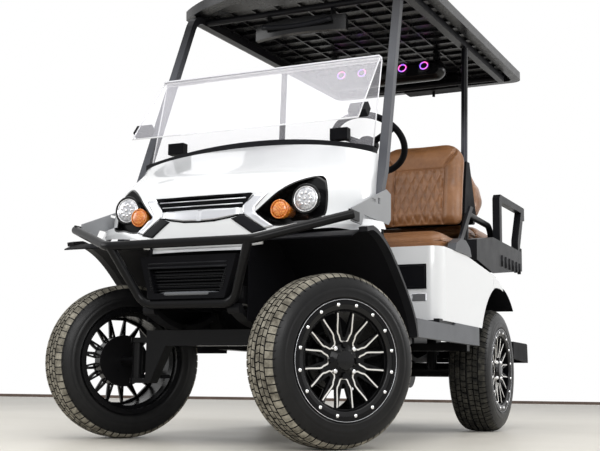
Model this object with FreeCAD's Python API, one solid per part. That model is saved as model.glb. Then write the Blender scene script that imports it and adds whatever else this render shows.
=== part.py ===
import FreeCAD, Part
import math
import os

V = FreeCAD.Vector
axis_x, axis_y, axis_z = V(1, 0, 0), V(0, 1, 0), V(0, 0, 1)

# General
overrun = 20.0              # how far a cutting tool runs past the face it cuts
fit = 0.3                   # running or seating clearance between pieces
wall = 4.0                  # moulded body panels

# Wheels, axles and steering
wheelbase = 1690.0
tyre_radius = 286.0
tyre_width = 196.0
rim_lip_radius = 197.0
rim_width = 190.0
rim_wall = 6.0
rim_bead_drop = 12.0
rim_well_drop = 26.0
rim_face_inset = 12.0       # spoke face, in from the outer lip
rim_face_thickness = 13.0
rim_dish = 14.0             # the hub lies this much deeper than the rim edge of the face
spoke_width = 9.0
spoke_pairs = 8
window_outer_radius = 158.0
pair_window_radius = 75.0
gap_window_radius = 95.0
hub_radius = 58.0
hub_bore_radius = 17.0
cap_radius = 31.0
cap_height = 17.0
nut_circle_radius = 50.8
nut_radius = 9.5
nut_height = 15.0
nut_count = 4
drum_radius = 92.0
drum_depth = 58.0
tyre_wall = 13.0
tyre_shoulder = 24.0
tread_half = 64.0
rear_wheel_x = 496.0        # wheel middle plane from the centre line
kingpin_x = 344.0
kingpin_to_wheel = 142.0
kingpin_radius = 9.0
kingpin_tube_radius = 20.0
kingpin_tube_height = 128.0
spindle_radius = 16.0
steer_angle = 34.0          # degrees to the right, as it is parked
steer_arm_length = 120.0
steer_arm_width = 26.0
steer_arm_height = 14.0
backing_radius = 96.0
backing_thickness = 5.0

axle_z = tyre_radius
front_axle_y = -wheelbase / 2
rear_axle_y = wheelbase / 2
rear_stub_gap = 3.0

# Front axle beam
beam_height = 56.0
beam_depth = 54.0
beam_lift = 80.0            # beam middle above the wheel centre
yoke_inset = 52.0           # yoke back plate, inboard of the kingpin
yoke_plate = 30.0
yoke_lug = 18.0
yoke_reach = 22.0

# Rear axle
axle_tube_radius = 34.0
diff_radius = 92.0
diff_width = 130.0
diff_offset = -60.0
motor_radius = 88.0
motor_length = 128.0

# Ladder frame
rail_x = 165.0
rail_width = 50.0
rail_height = 60.0
rail_front_z = 500.0
rail_mid_z = 366.0
rail_rear_z = 430.0
rail_front_end = 190.0      # ahead of the front axle
rail_front_drop = 222.0     # behind the front axle, where the kick down starts
rail_drop_run = 100.0
rail_rear_rise = 415.0      # ahead of the rear axle, where the kick up starts
rail_rise_run = 110.0
rail_rear_end = 330.0       # behind the rear axle
cross_size = 40.0
outrigger_reach = 385.0
outrigger_height = 34.0

# Leaf springs and shocks
spring_width = 44.0
spring_thickness = 20.0
front_spring_half = 200.0
rear_spring_half = 290.0
eye_radius = 17.0
shock_radius = 24.0
shock_rod_radius = 8.0
shock_x = 262.0
shock_top_z = 620.0

# Floor and battery
floor_thickness = 12.0
floor_inset = 8.0           # in from the body's side
floor_z = rail_mid_z + rail_height / 2 + fit
toe_z = 620.0
toe_lean = 60.0
battery_half_width = 300.0
battery_height = 250.0
battery_margin = 40.0

# Front cowl
body_half_width = 580.0
floor_half_width = body_half_width - floor_inset
cowl_bottom_z = 655.0
cowl_height = 452.0
nose_overhang = 173.0       # nose ahead of the front axle
cowl_length = 458.0
fender_tail_y = -760.0     # the low sides end here, behind the arch's top
cowl_crown = 62.0           # the top edge is this much lower at the sides
cowl_level_shares = [       # height, setback, width, depth of the rounded front
    (0.00, 0.000, 1.005, 0.66),
    (0.20, 0.000, 1.000, 0.66),
    (0.255, 0.003, 0.980, 0.66),
    (0.267, 0.004, 0.915, 0.66),
    (0.36, 0.018, 0.906, 0.655),
    (0.46, 0.040, 0.900, 0.64),
    (0.57, 0.120, 0.888, 0.60),
    (0.72, 0.360, 0.876, 0.50),
    (0.86, 0.620, 0.867, 0.33),
    (1.00, 0.860, 0.860, 0.12),
]
skirt_level_count = 4       # the last of these levels is the shoulder
trim_height = 24.0
trim_depth = 46.0

# Front wheel arches
arch_radius = 400.0
arch_z = 320.0
arch_slope_shares = [        # degrees above the rear level, share of the arch's radius
    (0, 1.0),
    (14, 1.0),
    (31, 0.915),
    (50, 0.86),
    (76, 0.91),
    (98, 1.0),
]
liner_inner_x = 194.0
flare_height = 15.0
flare_width = 30.0
flare_proud = 20.0
flare_start_angle = 9.0
flare_end_angle = 106.0

# Lamps and grille
lamp_x = 361.0
lamp_z = 832.0
lamp_radius = 47.0
lamp_depth = 30.0
lamp_rim = 7.0
signal_x = 282.0
signal_z = 795.0
signal_radius = 31.0
signal_depth = 26.0
bezel_depth = 60.0
bezel_wall = 6.0
grille_half_top = 190.0
grille_half_bottom = 160.0
grille_top_z = 852.0
grille_bottom_z = 802.0
grille_bar = 6.0
grille_depth = 26.0
chin_panel_height = 34.0

# Bumper panel and brush guard
panel_half_top = 189.0
panel_half_bottom = 146.0
panel_top_z = 633.0
panel_bottom_z = 486.0
panel_border = 20.0
panel_front = 244.0         # ahead of the front axle
panel_recess = 20.0
panel_slats = 7
panel_slat = 6.0
guard_radius = 15.5
guard_front = 312.0         # top tube ahead of the front axle
guard_top_z = 667.0
guard_top_half = 283.0
guard_side_inset = 25.0
guard_side_x = body_half_width - guard_side_inset
guard_side_y = 126.0
guard_side_z = 762.0
guard_tab = 70.0
guard_low_half = 176.0
guard_low_front = 230.0
guard_low_z = 470.0
guard_bend = 60.0

# Rockers and rear body
rocker_z = 386.0
rocker_height = 68.0
rocker_thickness = 22.0
rocker_step = 12.0
rocker_step_back = 176.0    # the step stands this far behind the body's front
rocker_front_gap = 14.0
box_front_y = -120.0
box_proud = 12.0
box_half_width = body_half_width + box_proud
box_top_z = 765.0
box_low_z = 456.0
box_tail_z = 722.0
box_slope_y = 250.0
box_corner = 60.0
rear_arch_radius = 398.0
hatch_half = 440.0
hatch_front = 70.0
hatch_back = 430.0
plate_x = 530.0
plate_width = 118.0
plate_size = 100.0
plate_thickness = 5.0
plate_z = 642.0

# Roof
roof_half_width = 556.0
roof_front_y = -235.0       # front corners
roof_rear_y = 1556.0
roof_bow = 215.0
roof_front_z = 1818.0
roof_rear_z = 1902.0
roof_lip = 42.0
roof_crown = 26.0
roof_crown_inset = 60.0
roof_sheet = 5.0
roof_corner = 60.0
roof_border = 46.0
rib_depth = 12.0
rib_width = 7.0
rib_pitch = 112.0

# Roof frame, struts and screen
strut_size = 32.0
strut_foot_inset = 58.0     # strut middle, in from the body's side
strut_lean_in = 44.0
strut_foot_x = body_half_width - strut_foot_inset
strut_top_x = strut_foot_x - strut_lean_in
strut_top_y = -296.0
strut_top_z = 1784.0
strut_knee_y = -600.0
strut_knee_z = 985.0
strut_foot_y = -694.0
strut_foot_z = 782.0
strut_bend = 80.0
square_bend_count = 4
rail_end_y = 1380.0
rear_strut_x = 483.0
rear_strut_foot_y = 592.0
rear_strut_top_y = 639.0
rear_strut_radius = 15.5
cross_tube_radius = 14.0
bracket_thickness = 6.0
bracket_front_y = -953.0
bracket_back_y = -578.0
bracket_low_z = 742.0
bracket_top_z = 905.0
bracket_hole = 22.0
screen_thickness = 5.0
screen_half_width = strut_top_x
screen_top_z = 1432.0
screen_top_y = -496.0
fold_free_y = -737.0
fold_free_z = 1152.0
clip_width = 70.0
clip_height = 44.0
clip_depth = 34.0
clip_out_x = 425.0
clip_in_x = 352.0
stop_z = 1130.0
knob_radius = 9.0

# Overhead fittings
mirror_half = 212.0
mirror_height = 66.0
mirror_bow = 36.0
mirror_thickness = 26.0
mirror_z = 1718.0
mirror_y = -250.0
mirror_arm = 12.0
mirror_arm_x = 150.0
soundbar_half = 325.0
soundbar_radius = 52.0
soundbar_y = 842.0
soundbar_drop = 68.0
soundbar_clamp = 30.0
speaker_radius = 36.0
speaker_recess = 8.0
speaker_pitch = 108.0
speaker_count = 6
overhead_half = 160.0
overhead_length = 110.0
overhead_height = 66.0
overhead_x = 70.0
overhead_drop = 30.0
overhead_knob = 8.0
overhead_knob_drop = 26.0

# Dash, column and steering wheel
dash_side_gap = 10.0
dash_half_width = strut_foot_x - strut_size - dash_side_gap
dash_low_z = 800.0
dash_depth = 96.0
dash_thickness = 24.0
dash_pocket_half = 120.0
dash_pocket_height = 90.0
wheel_x = 295.0
wheel_y = -158.0
wheel_z = 1193.0
wheel_radius = 165.0
wheel_grip = 13.5
wheel_hub_radius = 44.0
wheel_hub_height = 30.0
wheel_spoke = 22.0
column_angle = 50.0
column_radius = 24.0
column_length = 620.0
pedal_x = 250.0
pedal_pitch = 150.0
pedal_width = 90.0
pedal_height = 120.0
pedal_thickness = 10.0
pedal_arm = 14.0

# Seats
cushion_inset = 24.0
cushion_half_width = body_half_width - cushion_inset
cushion_front_y = 30.0
cushion_back_y = 450.0
cushion_high = 98.0
cushion_round = 34.0
cushion_side_gap = 5.0
back_inner_x = 84.0
back_outer_x = 502.0
back_low_z = 950.0
back_high = 392.0
back_front_y = 452.0
back_thickness = 80.0
back_lean = 68.0
rear_back_y = 749.0          # low inner corner of the rear pads
rear_back_z = 1014.0
rear_back_lean = 112.0
rear_back_high = 244.0
rear_back_bulge = 215.0
shell_gap = 0.5
support_radius = 15.0
support_x = 520.0
support_z = 992.0
support_front_y = 485.0
support_back_y = 945.0
support_cross_y = 640.0
support_bend = 70.0
rear_cushion_half = 456.0
rear_cushion_front = 935.0
rear_cushion_back = 1270.0
rear_cushion_high = 100.0
ledge_front = 672.0
ledge_gap = 10.0
ledge_high = 76.0
flip_axis_z = 1000.0
flip_pin_radius = 7.0

# Rear tray, grab frames, footrest
tray_half_width = 578.0
tray_front_y = 470.0
tray_rear_y = 1366.0
tray_top_front_z = 867.0
tray_top_z = 915.0
tray_rear_top_z = 932.0
tray_low_front_z = 776.0
tray_low_mid_z = 742.0
tray_low_rear_z = 812.0
tray_mid_y = 765.0
grab_x = 560.0
grab_width = 36.0
grab_depth = 44.0
grab_front_y = 900.0
grab_top_z = 1150.0
grab_rear_y = 1440.0
grab_rear_rise = 10.0
grab_back_leg = 38.0
grab_back_foot_y = 1302.0
grab_bar = 34.0
grab_block = 34.0
hip_x = 566.0
hip_blade = 12.0
hip_blade_width = 46.0
hip_base_width = 64.0
hip_base_length = 250.0
hip_base_height = 62.0
hip_base_y = 60.0
hip_top_y = 400.0
hip_top_z = 1004.0
foot_front_y = 1175.0
foot_rear_y = 1500.0
foot_half_width = 570.0
foot_top_z = 436.0
foot_low_z = 336.0
foot_wall = 5.0
post_size = 36.0
post_front_y = 800.0
post_rear_y = 1060.0


def block(x0, x1, y0, y1, z0, z1):
    return Part.makeBox(x1 - x0, y1 - y0, z1 - z0, V(x0, y0, z0))


def face_of(points):
    return Part.Face(Part.makePolygon(points + points[:1]))


def side_prism(outline, x0, x1):
    """Outline in (y, z), run along X."""
    return face_of([V(x0, y, z) for y, z in outline]).extrude(V(x1 - x0, 0, 0))


def front_prism(outline, y0, y1):
    """Outline in (x, z), run along Y."""
    return face_of([V(x, y0, z) for x, z in outline]).extrude(V(0, y1 - y0, 0))


def cylinder(start, end, radius):
    run = end - start
    return Part.makeCylinder(radius, run.Length, start, run)


def mirrored(shape):
    return shape.mirror(V(0, 0, 0), axis_x)


def pair(shape):
    return Part.makeCompound([shape, mirrored(shape)])


def fused(shapes):
    first, rest = shapes[0], shapes[1:]
    return first.multiFuse(rest).removeSplitter()


def bend_steps(before, corner, after, bend, steps):
    """Points and directions along the arc that rounds a corner."""
    into, out = (before - corner).normalize(), (after - corner).normalize()
    half_turn = math.acos(max(-1.0, min(1.0, into.dot(out)))) / 2
    start = corner + into * (bend / math.tan(half_turn))
    centre = corner + (into + out).normalize() * (bend / math.sin(half_turn))
    turn = 180 - 2 * math.degrees(half_turn)
    axis = out.cross(into)
    found = []
    for k in range(steps + 1):
        spin = FreeCAD.Rotation(axis, turn * k / steps)
        found.append((centre + spin.multVec(start - centre), spin.multVec(into * -1)))
    return found, centre, axis, turn


def bent_tube(points, radius, bend):
    """Round tube: straight runs joined by part rings."""
    last = points[0]
    pieces = []
    for before, corner, after in zip(points, points[1:], points[2:]):
        found, centre, axis, turn = bend_steps(before, corner, after, bend, 1)
        start, run = found[0]
        pieces.append(cylinder(last, start, radius))
        ring = Part.Face(Part.Wire(Part.makeCircle(radius, start, run)))
        pieces.append(ring.revolve(centre, axis, turn))
        last = found[-1][0]
    pieces.append(cylinder(last, points[-1], radius))
    return fused(pieces)


def square_section(middle, run, size):
    """Square across a direction, with two sides kept upright."""
    run = run.normalize()
    across = (axis_x - run * run.x).normalize() * (size / 2)
    rise = run.cross(across).normalize() * (size / 2)
    corners = [middle + across + rise, middle + across - rise, middle - across - rise, middle - across + rise]
    return Part.makePolygon(corners + corners[:1])


def square_tube(points, size, bend):
    """Square tube with upright sides, bent in the same way."""
    path = [(points[0], points[1] - points[0])]
    for before, corner, after in zip(points, points[1:], points[2:]):
        path += bend_steps(before, corner, after, bend, square_bend_count)[0]
    path.append((points[-1], points[-1] - points[-2]))
    return Part.makeLoft([square_section(middle, run, size) for middle, run in path], True, True)


def turned(profile):
    """Profile in (x, radius), turned about the X axis."""
    return face_of([V(x, 0, r) for x, r in profile]).revolve(V(0, 0, 0), axis_x, 360)


def rounded(shape, radius, pick):
    return shape.makeFillet(radius, [edge for edge in shape.Edges if pick(edge)])


def runs_along(edge, axis):
    if not isinstance(edge.Curve, Part.Line):
        return False
    run = (edge.Vertexes[-1].Point - edge.Vertexes[0].Point).normalize()
    return abs(run.dot(axis)) > 0.999


# Wheels

def polar(radius, degrees):
    angle = math.radians(degrees)
    return V(0, radius * math.cos(angle), radius * math.sin(angle))


def rim_window(inner_radius, inner_half, outer_half, middle):
    corners = [polar(inner_radius, middle - inner_half), polar(window_outer_radius, middle - outer_half),
               polar(window_outer_radius, middle + outer_half), polar(inner_radius, middle + inner_half)]
    face = face_of([c - axis_x * overrun for c in corners])
    return face.extrude(axis_x * (rim_width + overrun))


def spoke_half_angle(radius):
    return math.degrees(math.asin(spoke_width / 2 / radius))


def rim_face():
    outer_x = rim_width / 2 - rim_face_inset
    inner_x = outer_x - rim_dish
    edge = rim_lip_radius - rim_bead_drop - rim_wall / 2
    disc = turned([(inner_x, hub_bore_radius), (outer_x, window_outer_radius), (outer_x, edge),
                   (outer_x - rim_face_thickness, edge),
                   (outer_x - rim_face_thickness, window_outer_radius),
                   (inner_x - rim_face_thickness, hub_bore_radius)])
    step = 360.0 / spoke_pairs
    outer_spoke, inner_spoke = step / 4, step / 6.2
    cuts = []
    for k in range(spoke_pairs):
        middle = step * k
        cuts.append(rim_window(pair_window_radius,
                               inner_spoke - spoke_half_angle(pair_window_radius),
                               outer_spoke - spoke_half_angle(window_outer_radius), middle))
        cuts.append(rim_window(gap_window_radius,
                               step / 2 - inner_spoke - spoke_half_angle(gap_window_radius),
                               step / 2 - outer_spoke - spoke_half_angle(window_outer_radius),
                               middle + step / 2))
    return disc.cut(Part.makeCompound(cuts))


def rim():
    half = rim_width / 2
    lip, bead, well = rim_lip_radius, rim_lip_radius - rim_bead_drop, rim_lip_radius - rim_well_drop
    flange = rim_wall
    seat = half - 2 * rim_wall
    slope = seat - tyre_shoulder
    barrel = turned([(half, lip), (half - flange, lip), (half - flange, bead), (slope, bead),
                     (slope - rim_wall, well), (rim_wall - slope, well), (-slope, bead),
                     (flange - half, bead), (flange - half, lip), (-half, lip),
                     (-half, bead - rim_wall), (-slope, bead - rim_wall),
                     (rim_wall - slope, well - rim_wall), (slope - rim_wall, well - rim_wall),
                     (slope, bead - rim_wall), (half, bead - rim_wall)])
    face_x = half - rim_face_inset - rim_dish
    back_x = face_x - rim_face_thickness
    hub = turned([(back_x - drum_depth, drum_radius), (back_x, drum_radius), (back_x, hub_radius),
                  (face_x, hub_radius), (face_x + cap_height, cap_radius), (face_x + cap_height, 0),
                  (back_x, 0), (back_x, hub_bore_radius), (back_x - drum_depth, hub_bore_radius)])
    nuts = [Part.makeCylinder(nut_radius, nut_height, polar(nut_circle_radius, 360.0 * k / nut_count)
                              + axis_x * face_x, axis_x) for k in range(nut_count)]
    return fused([barrel, rim_face(), hub] + nuts)


def tyre():
    """Hollow section with a round shoulder, seated on the rim's beads."""
    half = tyre_width / 2
    bead_x = rim_width / 2 - rim_wall - fit
    bead = rim_lip_radius - rim_bead_drop + fit
    crown = tyre_radius
    bulge = (bead + crown) / 2
    outer = [(bead_x, bead), (bead_x, rim_lip_radius + fit), (half - rim_wall / 3, rim_lip_radius + rim_wall),
             (half, bulge - rim_wall), (half - rim_wall / 2, bulge + rim_wall),
             (half - tyre_shoulder * 0.45, crown - tyre_shoulder), (half - tyre_shoulder, crown - tyre_shoulder * 0.3),
             (tread_half, crown)]
    inner = [(tread_half, crown - tyre_wall), (half - tyre_wall, bulge), (bead_x - tyre_wall, bead)]
    left = [(-x, r) for x, r in reversed(outer)]
    hollow = [(-x, r) for x, r in reversed(inner)]
    return turned(outer + left + hollow + inner)


def on_wheel(shape, side, front):
    """Turns a wheel piece so that its face is outward and puts it on its axle."""
    piece = shape.copy()
    if side < 0:
        piece = mirrored(piece)
    if front:
        piece.translate(V(side * kingpin_to_wheel, 0, 0))
        piece.rotate(V(0, 0, 0), axis_z, -steer_angle)
        piece.translate(V(side * kingpin_x, front_axle_y, axle_z))
    else:
        piece.translate(V(side * rear_wheel_x, rear_axle_y, axle_z))
    return piece


# Axles and running gear

def knuckle(side):
    low = -kingpin_tube_height / 2
    tube = Part.makeCylinder(kingpin_tube_radius, kingpin_tube_height, V(0, 0, low))
    reach = kingpin_tube_height / 2 + yoke_lug
    pin = Part.makeCylinder(kingpin_radius, 2 * reach, V(0, 0, -reach))
    face_x = kingpin_to_wheel + rim_width / 2 - rim_face_inset - rim_dish - rim_face_thickness
    spindle = cylinder(V(0, 0, 0), V(face_x - rear_stub_gap, 0, 0), spindle_radius)
    plate_x0 = face_x - drum_depth - backing_thickness - rear_stub_gap
    plate = cylinder(V(plate_x0, 0, 0), V(plate_x0 + backing_thickness, 0, 0), backing_radius)
    arm = block(-steer_arm_width, 0, 0, steer_arm_length, low, low + steer_arm_height)
    shape = fused([tube, pin, spindle, plate, arm])
    if side < 0:
        shape = mirrored(shape)
    shape.rotate(V(0, 0, 0), axis_z, -steer_angle)
    shape.translate(V(side * kingpin_x, front_axle_y, axle_z))
    return shape


def front_axle():
    z0 = axle_z + beam_lift - beam_height / 2
    plate_x0 = kingpin_x - yoke_inset - yoke_plate
    beam = block(-plate_x0, plate_x0, front_axle_y - beam_depth / 2, front_axle_y + beam_depth / 2,
                 z0, z0 + beam_height)
    pieces = [beam]
    tube_half = kingpin_tube_height / 2 + fit
    for side in (1, -1):
        low_z, x1 = axle_z - tube_half - yoke_lug, plate_x0 + yoke_plate
        plate = front_prism([(plate_x0 - yoke_inset, z0), (x1 - yoke_lug, low_z), (x1, low_z),
                             (x1, z0 + beam_height), (plate_x0, z0 + beam_height)],
                            front_axle_y - beam_depth / 2, front_axle_y + beam_depth / 2)
        lugs = []
        for low in (axle_z - tube_half - yoke_lug, axle_z + tube_half):
            lugs.append(block(plate_x0 + yoke_plate, kingpin_x, front_axle_y - beam_depth / 2,
                              front_axle_y + beam_depth / 2, low, low + yoke_lug))
            lugs.append(Part.makeCylinder(beam_depth / 2, yoke_lug, V(kingpin_x, front_axle_y, low)))
        arm = fused([plate] + lugs)
        arm = arm.cut(Part.makeCylinder(kingpin_radius + fit, 2 * beam_height + kingpin_tube_height,
                                        V(kingpin_x, front_axle_y, axle_z - tube_half - beam_height)))
        pieces.append(arm if side > 0 else mirrored(arm))
    return fused(pieces)


def rear_axle():
    end = rear_wheel_x + rim_width / 2 - rim_face_inset - rim_dish - rim_face_thickness - rear_stub_gap
    plate_x0 = end + rear_stub_gap - drum_depth - backing_thickness - rear_stub_gap
    centre = V(0, rear_axle_y, axle_z)
    tube = cylinder(centre - axis_x * plate_x0, centre + axis_x * plate_x0, axle_tube_radius)
    shaft = cylinder(centre - axis_x * end, centre + axis_x * end, spindle_radius)
    diff = cylinder(centre + axis_x * (diff_offset - diff_width / 2),
                    centre + axis_x * (diff_offset + diff_width / 2), diff_radius)
    diff = diff.makeChamfer(backing_thickness * 4, diff.Edges[:1] + diff.Edges[2:])
    motor_start = diff_offset + diff_width / 2
    motor = cylinder(centre + axis_x * (motor_start - fit), centre + axis_x * (motor_start + motor_length),
                     motor_radius)
    plates = [cylinder(centre + axis_x * (s * plate_x0), centre + axis_x * (s * (plate_x0 + backing_thickness)),
                       backing_radius) for s in (1, -1)]
    return fused([tube, shaft, diff, motor] + plates)


def leaf_spring(middle_y, seat_z, half, rail_low_z):
    """Curved spring: seated in the middle, its eyes up under the rail."""
    eye_z = rail_low_z - fit - eye_radius
    end_z = eye_z - spring_thickness / 2
    top = Part.Arc(V(0, middle_y - half, end_z + spring_thickness), V(0, middle_y, seat_z + spring_thickness),
                   V(0, middle_y + half, end_z + spring_thickness)).toShape()
    low = Part.Arc(V(0, middle_y + half, end_z), V(0, middle_y, seat_z),
                   V(0, middle_y - half, end_z)).toShape()
    ends = [Part.makeLine(top.Vertexes[-1].Point, low.Vertexes[0].Point),
            Part.makeLine(low.Vertexes[-1].Point, top.Vertexes[0].Point)]
    leaf = Part.Face(Part.Wire([top, ends[0], low, ends[1]])).extrude(V(spring_width, 0, 0))
    leaf.translate(V(rail_x - spring_width / 2, 0, 0))
    eyes = [cylinder(V(rail_x - spring_width / 2, y, eye_z), V(rail_x + spring_width / 2, y, eye_z), eye_radius)
            for y in (middle_y - half, middle_y + half)]
    return fused([leaf] + eyes)


def front_springs():
    seat = axle_z + beam_lift + beam_height / 2 + fit
    return pair(leaf_spring(front_axle_y, seat, front_spring_half, rail_front_z - rail_height / 2))


def rear_springs():
    seat = axle_z + axle_tube_radius + fit
    return pair(leaf_spring(rear_axle_y, seat, rear_spring_half, rail_rear_z - rail_height / 2))


def rear_shocks():
    """Dampers from the axle tube up to the seat frame's low bar."""
    low = V(shock_x, rear_axle_y - axle_tube_radius - shock_radius - fit, axle_z)
    top = V(shock_x, post_front_y, shock_top_z - fit)
    middle = low + (top - low) * 0.55
    body = cylinder(low, middle, shock_radius)
    rod = cylinder(middle, top - (top - low).normalize(), shock_rod_radius)
    return pair(fused([body, rod]))


def rail_outline():
    half = rail_height / 2
    drop_y = front_axle_y + rail_front_drop
    rise_y = rear_axle_y - rail_rear_rise
    line = [(front_axle_y - rail_front_end, rail_front_z), (drop_y, rail_front_z),
            (drop_y + rail_drop_run, rail_mid_z), (rise_y, rail_mid_z),
            (rise_y + rail_rise_run, rail_rear_z), (rear_axle_y + rail_rear_end, rail_rear_z)]
    return [(y, z + half) for y, z in line] + [(y, z - half) for y, z in reversed(line)]


def chassis_frame():
    rail = side_prism(rail_outline(), rail_x - rail_width / 2, rail_x + rail_width / 2)
    inner = rail_x - rail_width / 2
    half = cross_size / 2
    front_y = front_axle_y - rail_front_end
    crosses = [(front_y, rail_front_z), (front_axle_y + rail_front_drop - cross_size, rail_front_z),
               (box_front_y - cross_size, rail_mid_z), (rear_axle_y - rail_rear_rise - cross_size, rail_mid_z),
               (rear_axle_y + rail_rear_end - cross_size, rail_rear_z)]
    members = [block(-inner, inner, y, y + cross_size, z - half, z + half) for y, z in crosses]
    outriggers = []
    for y in (front_axle_y + arch_radius + cross_size, rear_axle_y - rail_rear_rise - cross_size):
        arm = block(rail_x + rail_width / 2, rail_x + outrigger_reach, y, y + cross_size,
                    rail_mid_z + rail_height / 2 - outrigger_height, rail_mid_z + rail_height / 2)
        outriggers += [arm, mirrored(arm)]
    return fused([rail, mirrored(rail)] + members + outriggers)


def battery_pack():
    y0 = box_front_y + battery_margin
    y1 = rear_axle_y - rail_rear_rise - battery_margin / 2
    z0 = rail_mid_z + rail_height / 2 + fit
    return block(-battery_half_width, battery_half_width, y0, y1, z0, z0 + battery_height)


def floor_pan():
    front_y = front_axle_y + arch_radius + wall + fit
    back_y = box_front_y - fit
    top = floor_z + floor_thickness
    plate = block(-floor_half_width, floor_half_width, front_y, back_y, floor_z, top)
    flare = arch_cylinder(arch_radius + flare_height + fit, body_half_width - flare_proud, body_half_width)
    plate = plate.cut(pair(flare))
    toe = side_prism([(front_y, floor_z), (front_y + floor_thickness, floor_z),
                      (front_y + floor_thickness, toe_z), (front_y + floor_thickness - toe_lean, dash_low_z),
                      (front_y - toe_lean, dash_low_z), (front_y, toe_z)],
                     -dash_half_width, dash_half_width)
    ribs = [block(-floor_half_width + rocker_thickness + k * rib_pitch, -floor_half_width + rocker_thickness
                  + k * rib_pitch + rib_pitch / 2, front_y + 2 * toe_lean, back_y - toe_lean,
                  top, top + wall) for k in range(int(2 * floor_half_width / rib_pitch))]
    return fused([plate, toe] + ribs)


# Front body

def cowl_level(share, inset):
    """One waterline: a half ellipse for the front, straight sides and an open back."""
    height, setback, width, depth = share
    half = body_half_width * width - inset
    z = cowl_bottom_z + cowl_height * height
    front = front_axle_y - nose_overhang + cowl_length * setback + inset
    back = front_axle_y - nose_overhang + cowl_length
    deep = cowl_length * depth - inset
    centre = V(0, front + deep, z)
    left, right = centre - axis_x * half, centre + axis_x * half
    if half > deep:
        curve = Part.Ellipse(centre + axis_x * half, centre + axis_y * deep, centre)
        arc = Part.ArcOfEllipse(curve, math.pi, 2 * math.pi).toShape()
    corners = [right, V(half, back + inset, z), V(-half, back + inset, z), left]
    lines = [Part.makeLine(a, b) for a, b in zip(corners, corners[1:])]
    return Part.Wire([arc] + lines)


def cowl_mass(inset):
    """Flat sided skirt below the shoulder and a curved hood above it."""
    levels = [cowl_level(share, inset) for share in cowl_level_shares]
    skirt = Part.makeLoft(levels[:skirt_level_count], True, True)
    hood = Part.makeLoft(levels[skirt_level_count - 1:], True, False)
    return skirt.fuse(hood)


def crown_arch(rise):
    """Everything below the crowned top edge of the cowl, lifted by rise."""
    half = body_half_width + overrun
    top_z = cowl_bottom_z + cowl_height + rise
    side_z = top_z - cowl_crown * (half / (body_half_width * 0.86)) ** 2
    arc = Part.Arc(V(-half, 0, side_z), V(0, 0, top_z), V(half, 0, side_z)).toShape()
    low = cowl_bottom_z - cowl_height
    sides = [Part.makeLine(V(half, 0, side_z), V(half, 0, low)),
             Part.makeLine(V(half, 0, low), V(-half, 0, low)),
             Part.makeLine(V(-half, 0, low), V(-half, 0, side_z))]
    shape = Part.Face(Part.Wire([arc] + sides)).extrude(V(0, 2 * cowl_length, 0))
    shape.translate(V(0, front_axle_y - cowl_length, 0))
    return shape


def arch_point(radius, degrees, share):
    angle = math.radians(degrees)
    return V(0, front_axle_y + radius * share * math.cos(angle), arch_z + radius * share * math.sin(angle))


def arch_cylinder(radius, x0, x1):
    """Wheel arch seen from the side: a circle with its rear upper quarter pulled in."""
    slope = Part.BSplineCurve()
    slope.interpolate([arch_point(radius, angle, share) for angle, share in arch_slope_shares])
    last = arch_slope_shares[-1][0]
    round_part = Part.Arc(arch_point(radius, last, 1), arch_point(radius, last / 2 + 180, 1),
                          arch_point(radius, 360, 1))
    shape = Part.Face(Part.Wire([slope.toShape(), round_part.toShape()])).extrude(axis_x * (x1 - x0))
    shape.translate(V(x0, 0, 0))
    return shape


def strut_front_y(z):
    """The plane just ahead of the front struts, at a height."""
    low, high = (strut_foot_y, strut_foot_z), (strut_knee_y, strut_knee_z)
    if z > strut_knee_z:
        low, high = high, (strut_top_y, strut_top_z)
    run, rise = high[0] - low[0], high[1] - low[1]
    return low[0] + run * (z - low[1]) / rise - strut_size / 2 * math.hypot(run, rise) / rise - fit


def behind_cowl():
    """The space behind the cowl's raked rear edge, which the struts and screen take."""
    low, high = bracket_low_z, cowl_bottom_z + cowl_height + overrun
    back = front_axle_y - nose_overhang + 2 * cowl_length
    knee = strut_knee_z
    return side_prism([(fender_tail_y, cowl_bottom_z - overrun), (back, cowl_bottom_z - overrun), (back, high),
                       (strut_front_y(high), high), (strut_front_y(knee), knee), (strut_front_y(low), low),
                       (fender_tail_y, low)], -body_half_width - 2 * overrun, body_half_width + 2 * overrun)


def lamp_y(x, z):
    """Where the cowl's front stands at a height and a distance from the centre line."""
    share = (z - cowl_bottom_z) / cowl_height
    for low, high in zip(cowl_level_shares, cowl_level_shares[1:]):
        if low[0] <= share <= high[0]:
            part = (share - low[0]) / (high[0] - low[0])
            setback, width, depth = [a + (b - a) * part for a, b in zip(low[1:], high[1:])]
            half, deep = body_half_width * width, cowl_length * depth
            front = front_axle_y - nose_overhang + cowl_length * setback
            return front + deep * (1 - math.sqrt(max(0.0, 1 - (x / half) ** 2)))
    return front_axle_y


bezel_shares = [(-3.28, -0.96), (-1.85, 0.42), (-0.12, 1.62), (0.66, 1.78), (1.20, 0.76), (1.28, -0.46),
                (1.08, -1.38), (-0.30, -1.72), (-1.90, -1.96)]


def bezel_outline(grow):
    """Almond around the lamps, in lamp radii about the lamp's middle, grown outward."""
    points = []
    for sx, sz in bezel_shares:
        length = math.hypot(sx, sz)
        points.append((lamp_x + sx * lamp_radius + grow * sx / length,
                       lamp_z + sz * lamp_radius + grow * sz / length))
    return points


def smooth_prism(outline, y0, y1):
    """Closed smooth curve through points in (x, z), run along Y."""
    curve = Part.BSplineCurve()
    curve.interpolate(Points=[V(x, y0, z) for x, z in outline], PeriodicFlag=True)
    return Part.Face(Part.Wire(curve.toShape())).extrude(V(0, y1 - y0, 0))


def bezel_hole():
    return smooth_prism(bezel_outline(bezel_wall + fit), front_axle_y - 2 * nose_overhang,
                        lamp_y(lamp_x, lamp_z) + bezel_depth + overrun)


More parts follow.
